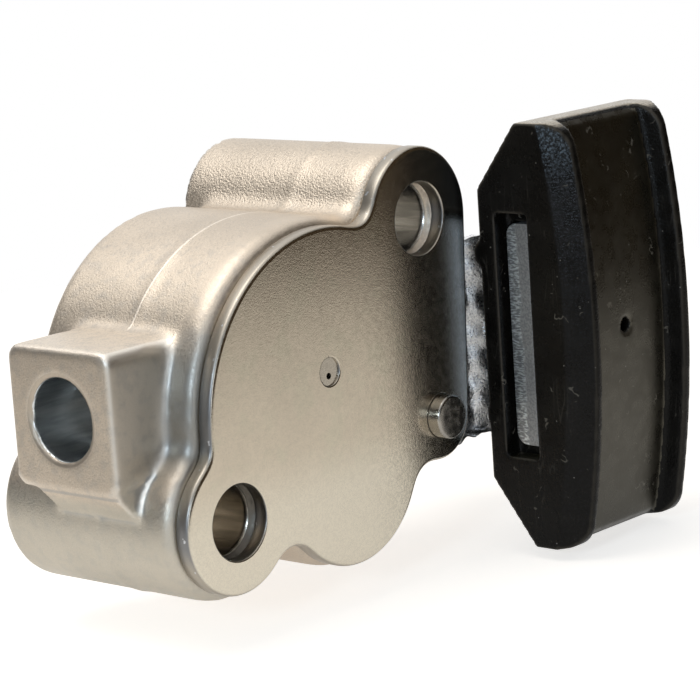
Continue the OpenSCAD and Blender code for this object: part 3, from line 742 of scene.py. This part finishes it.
def turned_steel(name, tone, roughness, stretch=(1, 0.15, 1)):
    """Turned or ground steel with fine tool marks."""
    f = Finish(name, metallic=1.0)
    marks, patch = f.cloud(0.2 * MM, 2, stretch=stretch), f.cloud(3 * MM, 3)
    f.set("base_color", f.mix(f.span(patch, 0.3, 0.7), tinted(tone, 0.86), tone))
    f.set("roughness", f.span(marks, 0.3, 0.7, roughness - 0.05, roughness + 0.08))
    f.set("normal", f.bump(marks, 0.006 * MM, strength=0.5))
    return f.material


def sheared_steel():
    """The head plate's steel: on its cut edges a pale striped band beside a dark torn one; the pale band's
    bluish white is partly a painted glint.
    """
    f = Finish("sheared_steel", metallic=1.0)
    lines, torn = f.cloud(0.2 * MM, 3, stretch=(1, 0.3, 1)), f.cloud(0.3 * MM, 4)
    wander = f.times(f.cloud(4 * MM), 1.6 * MM)
    band = f.span(f.calc("ADD", f.y, wander), -35.7 * MM, -35.3 * MM)
    pale = f.mix(f.span(lines, 0.42, 0.62), *HEAD_TONES.pale)
    dull = f.mix(f.span(torn, 0.38, 0.62), *HEAD_TONES.torn)
    f.set("base_color", f.mix(band, dull, pale))
    f.set("roughness", f.span(band, 0, 1, 0.5, 0.36))
    f.set("normal", f.bump(f.mix(band, f.times(torn, 0.4), lines), 0.06 * MM, strength=0.9))
    return f.material


def moulded_nylon(name, black, gloss, roughness, relief, tint=(1, 1, 1)):
    """Black nylon with a fine grain, a flank specked with painted glints, hair scratches, lint, dust,
    painted light on the top end face and painted highlights along the edges.
    """
    f = Finish(name, metallic=0.0, specular_ior_level=gloss, specular_tint=tint)
    facing = f.facing()
    grain, patch = f.cloud(0.25 * MM, 2), f.cloud(5 * MM, 3)
    hairs = f.cloud(1.6 * MM, 1, stretch=(9, 1, 0.12))
    scratch = f.times(f.span(f.off(hairs, 0.5), 0.012, 0.003), f.span(patch, 0.5, 0.62))
    fluff = f.span(f.off(f.cloud(1.3 * MM, 1), 0.5), 0.03, 0.012)
    lint = f.times(fluff, f.span(f.cloud(2.2 * MM, 2), 0.64, 0.68))
    flank = f.times(f.span(facing[0], -0.6, -0.75), f.span(facing[1], -0.3, -0.4))
    flank = f.times(flank, f.span(f.x, 33 * MM, 32 * MM), f.span(f.z, 0.0, 14 * MM, 0.3, 1.0))
    glint = f.times(flank, f.span(f.cloud(0.34 * MM, 3, roughness=0.7), 0.46, 0.72))
    dust = f.times(f.specks(1.5 * MM, 0.11 * MM), f.span(f.cloud(4 * MM), 0.45, 0.58))
    # the top end face, which gets painted light
    lit_top_face = f.times(f.span(facing[2], 0.8, 0.95), f.span(f.z, 23.5 * MM, 24.6 * MM))
    tone = f.coats(
        f.mix(f.span(patch, 0.35, 0.65), tinted(black, 0.8), tinted(black, 1.25)),
        # painted highlight on the edges that stand out
        (f.span(f.layer("edge"), 0.3, 1.0, 0, 0.7), NYLON_TONES.painted_edge_highlight),
        (f.times(scratch, 0.25), NYLON_TONES.scratch),
        (f.times(lint, 0.3), NYLON_TONES.lint),
        (f.times(glint, 0.35), NYLON_TONES.glint),
        (f.times(glint, f.span(f.z, 17 * MM, 24 * MM, 0.0, 0.6)), NYLON_TONES.cool_glint),
        # painted light on the top end face
        (f.times(lit_top_face, f.span(grain, 0.3, 0.6, 0.35, 0.8)), NYLON_TONES.painted_top_light),
        (f.times(dust, 0.6), NYLON_TONES.dust),
    )
    f.set("base_color", tone)
    f.set("roughness", f.span(f.cloud(2 * MM, 3), 0.3, 0.7, roughness - 0.06, roughness + 0.06))
    f.set("normal", f.bump(grain, 0.06 * MM, strength=relief))
    return f.material


def plain_moulding(name, tone, roughness):
    """A soft or moulded material with a faint grain."""
    f = Finish(name, metallic=0.0)
    patch = f.cloud(1.5 * MM, 3)
    f.set("base_color", f.mix(f.span(patch, 0.35, 0.65), tinted(tone, 0.8), tone))
    f.set("roughness", f.span(patch, 0.3, 0.7, roughness - 0.06, roughness + 0.06))
    f.set("normal", f.bump(f.cloud(0.15 * MM), 0.01 * MM, strength=0.5))
    return f.material


# Pieces


class TENSIONER_OT_cast_body(bpy.types.Operator):
    """Rebuilds the casting with worn edges, filled corners and a lumpy flange"""

    bl_idname = "tensioner.cast_body"
    bl_label = "Cast Body"

    def execute(self, context):
        settings = context.scene.tensioner_casting
        made = welded_copy("housing", "cast_body")
        mesh = rebuild_skin(made, settings.cell)
        points, edges = read_points(mesh), read_edges(mesh)
        machined = self.machined(points)
        free = np.where(machined, 0.0, 1.0)
        x, _, z = points.T
        # The rib between the tail and the lower boss keeps its edges
        rib = (x < -13 * MM) & (z < -8.5 * MM) & (z > -17 * MM)
        points = relax(points, edges, free * self.edge_wear(points, rib), settings.edge_passes)
        points = relax(points, edges, free * self.rim_wear(points), settings.rim_passes)
        write_points(mesh, points)
        filled = free * self.inner_corners(mesh, edges) * np.where(rib, 0.03, 1.0)
        points = relax(points, edges, filled, settings.fillet_passes)
        write_points(mesh, points)
        points = self.lumps(points, read_normals(mesh), free, settings)
        self.seat(points, machined)
        self.break_mouths(points, settings.mouth)
        write_points(mesh, points)
        store(mesh, "edge", edge_lift(mesh, CAST_REACH))
        finish_piece(made, "body", "cast_aluminium", blasted_aluminium(settings), "housing")
        return {"FINISHED"}

    def machined(self, points):
        """True on faces that are bored, faced or covered, and stay as the solid has them."""
        x, y, z = points.T
        kept = y > -0.3 * MM
        along_y = [(hole, BOLT_RADIUS + 0.5 * MM) for hole in BOLT_HOLES]
        along_y += [(axis_of("plunger"), 7.4 * MM), (axis_of("guide_pin"), 2.2 * MM)]
        along_y += [(axis_of("cover_dowel"), 3.2 * MM), (axis_of("cover_seal"), 15.2 * MM)]
        for (across, up), radius in along_y:
            kept |= np.hypot(x - across, z - up) < radius
        gallery = (-7.8 * MM, FEED_AXIS[1])
        for (deep, up), radius, start in (
            (FEED_AXIS, FEED_RADIUS + 0.45 * MM, -29.6 * MM),
            (gallery, 2.9 * MM, 0.0),
        ):
            kept |= (np.hypot(y - deep, z - up) < radius) & (x > start)
        return kept

    def edge_wear(self, points, rib):
        """How fast edges wear: slower at the rib and at the feed port's mouth."""
        x, y, z = points.T
        mouth = (np.hypot(y - FEED_AXIS[0], z - FEED_AXIS[1]) < 6.5 * MM) & (x < -29 * MM)
        return np.where(rib, 0.15, np.where(mouth, 0.3, 1.0))

    def rim_wear(self, points):
        """How fast the rim under the cover wears; the flange is left out."""
        x, y, _ = points.T
        return np.clip((-26.2 * MM - y) / MM, 0, 1) * (x < 24 * MM)

    def inner_corners(self, mesh, edges):
        """1 in inner corners and a few points around them, fading out."""
        hollow = (edge_lift(mesh, CAST_REACH) < -0.4).astype(float)
        for _ in range(6):
            hollow = np.maximum(hollow, 0.93 * neighbour_mean(hollow, edges))
            hollow = np.clip(hollow + 0.25 * (neighbour_mean(hollow, edges) > 0.05), 0, 1)
        return hollow

    def seat(self, points, machined):
        """Puts the points of the machined faces back on the solid."""
        solid = tree_of("housing")
        for k in np.flatnonzero(machined):
            place = solid.find_nearest(Vector(points[k]))[0]
            if place is not None:
                points[k] = place

    def lumps(self, points, normals, free, settings):
        """Hollows the thin flange beside the cover, and makes it lumpy."""
        for k in np.flatnonzero((free > 0) & (points[:, 0] > 25.3 * MM) & (points[:, 1] < -25.2 * MM)):
            place = Vector(points[k]) / MM
            amount = noise.noise(place * 0.35) + 0.7 * noise.noise(place * 0.7) - 0.4
            points[k] += normals[k] * settings.lump * max(-1.0, min(0.2, amount))
            # The hollow fades out towards the shoe
            if normals[k][1] < -0.2:
                points[k][1] += settings.hollow * max(0.0, min(1.0, (33.6 - place.x) / 2.8))
        return points

    def break_mouths(self, points, width):
        """Breaks the bolt holes' edges under the cover, half from the wall and half from the face."""
        radius, joint = BOLT_RADIUS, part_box("cover_plate")[1].y
        depth = points[:, 1] - joint
        for x, z in BOLT_HOLES:
            across, up = points[:, 0] - x, points[:, 2] - z
            away = np.hypot(across, up)
            wall = (np.abs(away - radius) < 0.06 * MM) & (depth < width) & (depth > 0.02 * MM)
            face = (np.abs(depth) <= 0.02 * MM) & (away < radius + width) & (away > radius - 0.06 * MM)
            reach = np.where(wall, radius + (width - depth) / 2, (away + radius + width) / 2)
            sunk = np.where(wall, (width + depth) / 2, (radius + width - away) / 2)
            for moved in (wall, face):
                points[moved, 0] = x + across[moved] * reach[moved] / away[moved]
                points[moved, 2] = z + up[moved] * reach[moved] / away[moved]
                points[moved, 1] = joint + sunk[moved]


class TENSIONER_OT_cover(bpy.types.Operator):
    """Rounds the pressed cover plate's edges and turns its dowel"""

    bl_idname = "tensioner.cover"
    bl_label = "Cover Plate and Dowel"

    def execute(self, context):
        settings = context.scene.tensioner_cover
        plate = rolled_sheet("cover_plate", "cover_sheet", settings.rounding, settings.broken)
        finish_piece(plate, "body", "plate_steel", rolled_steel(settings), "cover_plate")
        low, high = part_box("cover_dowel")
        radius, nose, foot = (high.x - low.x) / 2, settings.nose, settings.foot
        curve = [math.radians(15 * k) for k in range(7)]
        flat = [(0, low.y + settings.dish), (0.5 * radius, low.y)]
        front = [(radius - nose + nose * math.sin(a), low.y + nose - nose * math.cos(a)) for a in curve]
        back = [(radius - foot + foot * math.cos(a), high.y - foot + foot * math.sin(a)) for a in curve]
        pin = lathe("dowel_pin", axis_of("cover_dowel"), flat + front + back + [(0, high.y)], 64)
        # painted shade: the dowel's steel is darker than the other ground steel, so its face looks dark
        ground = turned_steel("ground_pin", (0.40, 0.38, 0.345), 0.22, (0.25, 0.15, 0.25))
        finish_piece(pin, "body", "bright_steel", ground, "cover_dowel")
        return {"FINISHED"}


class TENSIONER_OT_head_plate(bpy.types.Operator):
    """Rounds the stamped head plate's corners and edges"""

    bl_idname = "tensioner.head_plate"
    bl_label = "Head Plate"

    def execute(self, context):
        made = welded_copy("head_plate", "stamped_head")
        rounded_edges(made, context.scene.tensioner_shoe.head_edge, 2)
        finish_piece(made, "plunger_set", "sheet_steel", sheared_steel(), "head_plate")
        return {"FINISHED"}


class TENSIONER_OT_shoe(bpy.types.Operator):
    """Rebuilds the nylon shoe with softly moulded edges"""

    bl_idname = "tensioner.shoe"
    bl_label = "Shoe"

    def execute(self, context):
        settings = context.scene.tensioner_shoe
        made = welded_copy("shoe", "nylon_shoe")
        mesh = rebuild_skin(made, settings.cell)
        points, edges = read_points(mesh), read_edges(mesh)
        points = relax(points, edges, np.ones(len(points)), settings.edge_passes)
        write_points(mesh, points)
        store(mesh, "edge", edge_lift(mesh, MOULD_REACH))
        plain = moulded_nylon("moulded_nylon", settings.nylon, settings.gloss, settings.roughness, 0.9)
        finish_piece(made, "plunger_set", "shoe_nylon", plain, "shoe")
        oily = (1.0, 0.94, 0.77)
        run_in = moulded_nylon(
            "run_in_nylon", settings.track, settings.track_gloss, settings.track_roughness, 0.3, oily
        )
        mesh.materials.append(run_in)
        self.mark_track(mesh)
        return {"FINISHED"}

    def mark_track(self, mesh):
        """Gives the chain's track, smoothed by use, and the cut ends their own finish."""
        half_width, depth = 7.9 * MM, 6 * MM
        low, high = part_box("shoe")
        centres, normals = np.empty(len(mesh.polygons) * 3), np.empty(len(mesh.polygons) * 3)
        mesh.polygons.foreach_get("center", centres)
        mesh.polygons.foreach_get("normal", normals)
        centres, normals = centres.reshape(-1, 3), normals.reshape(-1, 3)
        across = np.abs(centres[:, 0] - (low.x + high.x) / 2)
        track = (across < half_width) & (normals[:, 1] < -0.6) & (centres[:, 1] < low.y + depth)
        track |= np.abs(normals[:, 2]) > 0.93
        mesh.polygons.foreach_set("material_index", track.astype(np.int32))


def coil_tree(material):
    """A node tree that winds a coil spring with closed end turns along -Y."""
    tree = bpy.data.node_groups.new("wound_spring", "GeometryNodeTree")
    sizes = {
        "Coil Radius": 3 * MM,
        "Wire Radius": 0.5 * MM,
        "Length": 10 * MM,
        "Turns": 6.0,
        "Closed Pitch": 1 * MM,
    }
    for name, default in sizes.items():
        socket = tree.interface.new_socket(name, in_out="INPUT", socket_type="NodeSocketFloat")
        socket.default_value = default
    tree.interface.new_socket("Geometry", in_out="OUTPUT", socket_type="NodeSocketGeometry")
    given = add_node(tree, "NodeGroupInput").outputs

    def calc(operation, a, b=0.0):
        return add_node(tree, "ShaderNodeMath", {0: a, 1: b}, operation=operation).outputs[0]

    def climb(turn, start, stop, rise):
        return add_node(
            tree,
            "ShaderNodeMapRange",
            {"Value": turn, "From Min": start, "From Max": stop, "To Min": 0.0, "To Max": rise},
        ).outputs["Result"]

    ends = {"Start": (0, 0, 0), "End": (0, -1, 0)}
    line = add_node(tree, "GeometryNodeCurvePrimitiveLine", ends).outputs[0]
    points_a_turn = 28.0
    count = calc("MULTIPLY", given["Turns"], points_a_turn)
    line = add_node(tree, "GeometryNodeResampleCurve", {"Curve": line, "Count": count}).outputs[0]
    factor = add_node(tree, "GeometryNodeSplineParameter").outputs["Factor"]
    turn = calc("MULTIPLY", factor, given["Turns"])
    angle = calc("MULTIPLY", turn, 2 * math.pi)
    last = calc("SUBTRACT", given["Turns"], 1.0)
    closed = given["Closed Pitch"]
    room = calc("SUBTRACT", given["Length"], calc("MULTIPLY", given["Wire Radius"], 2.0))
    open_rise = calc("SUBTRACT", room, calc("MULTIPLY", closed, 2.0))
    rise = calc("ADD", climb(turn, 0.0, 1.0, closed), climb(turn, 1.0, last, open_rise))
    rise = calc("ADD", rise, climb(turn, last, given["Turns"], closed))
    rise = calc("ADD", rise, given["Wire Radius"])
    across = calc("MULTIPLY", calc("COSINE", angle), given["Coil Radius"])
    up = calc("MULTIPLY", calc("SINE", angle), given["Coil Radius"])
    along = calc("MULTIPLY", rise, -1.0)
    place = add_node(tree, "ShaderNodeCombineXYZ", {0: across, 1: along, 2: up}).outputs[0]
    path = add_node(tree, "GeometryNodeSetPosition", {"Geometry": line, "Position": place}).outputs[0]
    section = {"Radius": given["Wire Radius"], "Resolution": 12}
    wire = add_node(tree, "GeometryNodeCurvePrimitiveCircle", section)
    skin = add_node(
        tree,
        "GeometryNodeCurveToMesh",
        {"Curve": path, "Profile Curve": wire.outputs["Curve"], "Fill Caps": True},
    ).outputs[0]
    skin = add_node(tree, "GeometryNodeSetShadeSmooth", {"Geometry": skin}).outputs[0]
    skin = add_node(tree, "GeometryNodeRealizeInstances", {"Geometry": skin}).outputs[0]
    skin = add_node(tree, "GeometryNodeSetMaterial", {"Geometry": skin, "Material": material}).outputs[0]
    out = add_node(tree, "NodeGroupOutput")
    tree.links.new(skin, out.inputs["Geometry"])
    return tree


class TENSIONER_OT_springs(bpy.types.Operator):
    """Winds the plunger spring and the check spring"""

    bl_idname = "tensioner.springs"
    bl_label = "Springs"

    def execute(self, context):
        material = turned_steel("spring_wire", (0.36, 0.36, 0.37), 0.3, (1, 1, 1))
        tree = coil_tree(material)
        sockets = {s.name: s.identifier for s in tree.interface.items_tree if s.in_out == "INPUT"}
        for node_name, name, wire, turns, mover in (
            ("plunger_spring", "plunger_coil", 0.5 * MM, 8.0, "plunger_set"),
            ("check_spring", "check_coil", 0.15 * MM, 5.0, "ball"),
        ):
            low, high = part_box(node_name)
            made = add_object(name, bpy.data.meshes.new(name))
            winding = made.modifiers.new("winding", "NODES")
            winding.node_group = tree
            sizes = {
                "Coil Radius": (high.x - low.x) / 2 - wire,
                "Wire Radius": wire,
                "Length": high.y - low.y,
                "Turns": turns,
                "Closed Pitch": 2.3 * wire,
            }
            for key, value in sizes.items():
                winding[sockets[key]] = value
            mesh = bake(made)
            x, z = axis_of(node_name)
            write_points(mesh, read_points(mesh) + np.array([x, high.y, z]))
            mesh.materials.clear()
            mesh.materials.append(material)
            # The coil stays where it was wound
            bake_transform(made)
            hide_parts(node_name)
        return {"FINISHED"}


class TENSIONER_OT_inner_pieces(bpy.types.Operator):
    """Gives the small turned, pressed and moulded pieces their finishes"""

    bl_idname = "tensioner.inner_pieces"
    bl_label = "Inner Pieces"

    def execute(self, context):
        ground = turned_steel("ground_steel", (0.70, 0.69, 0.67), 0.18)
        pressed = turned_steel("pressed_steel", (0.55, 0.54, 0.52), 0.3, (1, 1, 1))
        hardened = turned_steel("hardened_seat", (0.46, 0.45, 0.44), 0.26)
        finishes = {
            "bleed_jet": turned_steel("jet_metal", (0.60, 0.55, 0.47), 0.22),
            "cover_seal": plain_moulding("seal_rubber", (0.018, 0.018, 0.019), 0.55),
            "feed_screen": pressed,
            "gallery_plug": ground,
            "valve_seat": hardened,
            "check_ball": turned_steel("ball_steel", (0.75, 0.75, 0.74), 0.1),
            "valve_cage": pressed,
            "volume_filler": plain_moulding("filler_plastic", (0.72, 0.68, 0.58), 0.45),
            "plunger": ground,
            "stop_ring": turned_steel("ring_wire", (0.38, 0.38, 0.39), 0.32, (1, 1, 1)),
            "guide_pin": ground,
        }
        for node_name, material in finishes.items():
            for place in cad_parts[node_name].material_slots:
                place.material = material
        return {"FINISHED"}


# Studio


def sheet_mesh(name, corners):
    mesh = bpy.data.meshes.new(name)
    mesh.from_pydata(corners, [], [list(range(len(corners)))])
    return add_object(name, mesh)


def seen_white(tree):
    """1 for rays that should see the white background: from the camera, from metal and through glass."""
    rays = add_node(tree, "ShaderNodeLightPath").outputs
    seen = rays["Is Camera Ray"]
    for key in ("Is Glossy Ray", "Is Transmission Ray"):
        seen = add_node(tree, "ShaderNodeMath", {0: seen, 1: rays[key]}, operation="MAXIMUM").outputs[0]
    return seen


def card(name, direction, distance, width, low, high, tone):
    """A standing studio card that shapes reflections and is not seen by the camera."""
    middle = STUDIO_AIM + Vector(direction).normalized() * distance
    across = Vector((-direction[1], direction[0], 0)).normalized() * width / 2
    left, right = middle - across, middle + across
    base, top = Vector((0, 0, low)), Vector((0, 0, high))
    made = sheet_mesh(name, [left + base, right + base, right + top, left + top])
    material = bare_material(name)
    tree = material.node_tree
    light = add_node(tree, "ShaderNodeEmission", {"Color": (*tone, 1), "Strength": 1.0})
    out = add_node(tree, "ShaderNodeOutputMaterial")
    tree.links.new(light.outputs[0], out.inputs["Surface"])
    made.data.materials.append(material)
    made.visible_camera = False
    made.visible_shadow = False
    made.visible_diffuse = False


class TENSIONER_OT_stage(bpy.types.Operator):
    """Sets the camera, the floor, the lamps, the cards and the world"""

    bl_idname = "tensioner.stage"
    bl_label = "Stage"

    def execute(self, context):
        settings = context.scene.tensioner_stage
        scene = context.scene
        scene.view_settings.view_transform = "Standard"
        self.camera(scene)
        self.floor(settings)
        self.world(scene, settings)
        self.lamp("key_lamp", (-0.14, 0.10, 0.46), 0.34, settings.key_power, (1.0, 0.97, 0.93))
        self.lamp("cool_lamp", (-0.42, -0.20, 0.14), 0.07, settings.cool_power, (0.70, 0.85, 1.0))
        card("front_card", (0.64, -0.77, 0), 0.42, 1.5, -0.2, 0.6, (0.052, 0.038, 0.024))
        card("bright_card", (-0.55, -0.83, 0), 0.5, 0.14, -0.02, 0.2, (2.2, 2.4, 2.6))
        card("side_card", (-0.73, -0.67, 0), 0.6, 1.0, -0.3, 0.5, (0.05, 0.05, 0.05))
        card("rear_card", (-0.80, 0.60, 0), 0.42, 1.2, -0.2, 0.40, (0.18, 0.175, 0.17))
        return {"FINISHED"}

    def camera(self, scene):
        data = bpy.data.cameras.new("photo_camera")
        data.lens = 149.14
        data.sensor_width = 36
        data.sensor_fit = "HORIZONTAL"
        data.clip_start = 0.01
        made = add_object("photo_camera", data)
        made.location = (-0.249032, -0.257570, 0.068068)
        made.rotation_euler = [math.radians(v) for v in (78.8298, 3.8218, -48.8831)]
        scene.camera = made

    def floor(self, settings):
        z = cad_bounds[0][2] - settings.floor_drop
        x, y = FLOOR_CENTRE
        turn = np.linspace(0, 2 * math.pi, 97)[:-1]
        ring = [(x + FLOOR_RADIUS * math.cos(a), y + FLOOR_RADIUS * math.sin(a), z) for a in turn]
        made = sheet_mesh("floor", ring)
        material = bare_material("floor_paper")
        tree = material.node_tree
        paper = add_node(tree, "ShaderNodeBsdfDiffuse", {"Color": (0.87, 0.83, 0.77, 1)})
        place = add_node(tree, "ShaderNodeTexCoord").outputs["Object"]
        far = add_node(tree, "ShaderNodeVectorMath", {0: place}, operation="LENGTH").outputs["Value"]
        # painted pool of light: in reflections the floor glows brighter near the object
        pool = add_node(
            tree,
            "ShaderNodeMapRange",
            {"Value": far, "From Min": 0.05, "From Max": 0.17, "To Min": 0.385, "To Max": 0.14},
        ).outputs["Result"]
        seen = add_node(tree, "ShaderNodeLightPath").outputs["Is Camera Ray"]
        white = seen_white(tree)
        mirrored = add_node(tree, "ShaderNodeMath", {0: white, 1: seen}, operation="SUBTRACT").outputs[0]
        pool = add_node(tree, "ShaderNodeMath", {0: pool, 1: mirrored}, operation="MULTIPLY").outputs[0]
        strength = add_node(tree, "ShaderNodeMath", {0: seen, 1: 0.65, 2: pool}, operation="MULTIPLY_ADD")
        light = {"Color": (1, 1, 1, 1), "Strength": strength.outputs[0]}
        glow = add_node(tree, "ShaderNodeEmission", light)
        both = add_node(tree, "ShaderNodeAddShader", {0: paper.outputs[0], 1: glow.outputs[0]})
        out = add_node(tree, "ShaderNodeOutputMaterial")
        tree.links.new(both.outputs[0], out.inputs["Surface"])
        made.data.materials.append(material)

    def world(self, scene, settings):
        world = bpy.data.worlds.new("studio")
        scene.world = world
        world.use_nodes = True
        tree = world.node_tree
        tree.nodes.clear()
        spread = {"From Min": 0.0, "From Max": 1.0, "To Min": settings.fill, "To Max": 1.0}
        strength = add_node(tree, "ShaderNodeMapRange", {"Value": seen_white(tree), **spread})
        light = {"Color": (1, 1, 1, 1), "Strength": strength.outputs["Result"]}
        sky = add_node(tree, "ShaderNodeBackground", light)
        out = add_node(tree, "ShaderNodeOutputWorld")
        tree.links.new(sky.outputs[0], out.inputs["Surface"])

    def lamp(self, name, place, size, power, tone):
        data = bpy.data.lights.new(name, "AREA")
        data.size = size
        data.energy = power
        data.color = tone
        made = add_object(name, data)
        made.location = place
        made.rotation_euler = (STUDIO_AIM - Vector(place)).to_track_quat("-Z", "Y").to_euler()
        made.visible_camera = False


class TENSIONER_PT_panel(bpy.types.Panel):
    """Lists the tensioner's pieces and their sizes"""

    bl_idname = "TENSIONER_PT_panel"
    bl_label = "Tensioner"
    bl_space_type = "VIEW_3D"
    bl_region_type = "UI"
    bl_category = "Tensioner"

    def draw(self, context):
        for name in SETTINGS:
            group = getattr(context.scene, name)
            box = self.layout.box()
            box.label(text=name.replace("_", " ").title())
            for key in group.__annotations__:
                box.prop(group, key)
        for operator in OPERATORS:
            self.layout.operator(operator.bl_idname)


SETTINGS = {
    "tensioner_casting": CastingSettings,
    "tensioner_cover": CoverSettings,
    "tensioner_shoe": ShoeSettings,
    "tensioner_stage": StageSettings,
}
OPERATORS = (
    TENSIONER_OT_stage,
    TENSIONER_OT_cast_body,
    TENSIONER_OT_cover,
    TENSIONER_OT_head_plate,
    TENSIONER_OT_shoe,
    TENSIONER_OT_springs,
    TENSIONER_OT_inner_pieces,
)


def register():
    for kind in (*SETTINGS.values(), *OPERATORS, TENSIONER_PT_panel):
        bpy.utils.register_class(kind)
    for name, kind in SETTINGS.items():
        setattr(bpy.types.Scene, name, PointerProperty(type=kind))


def unregister():
    for name in SETTINGS:
        delattr(bpy.types.Scene, name)
    for kind in reversed((*SETTINGS.values(), *OPERATORS, TENSIONER_PT_panel)):
        bpy.utils.unregister_class(kind)


def main():
    register()
    bpy.ops.tensioner.stage()
    bpy.ops.tensioner.cast_body()
    bpy.ops.tensioner.cover()
    bpy.ops.tensioner.head_plate()
    bpy.ops.tensioner.shoe()
    bpy.ops.tensioner.springs()
    bpy.ops.tensioner.inner_pieces()


if __name__ == "__main__":
    main()
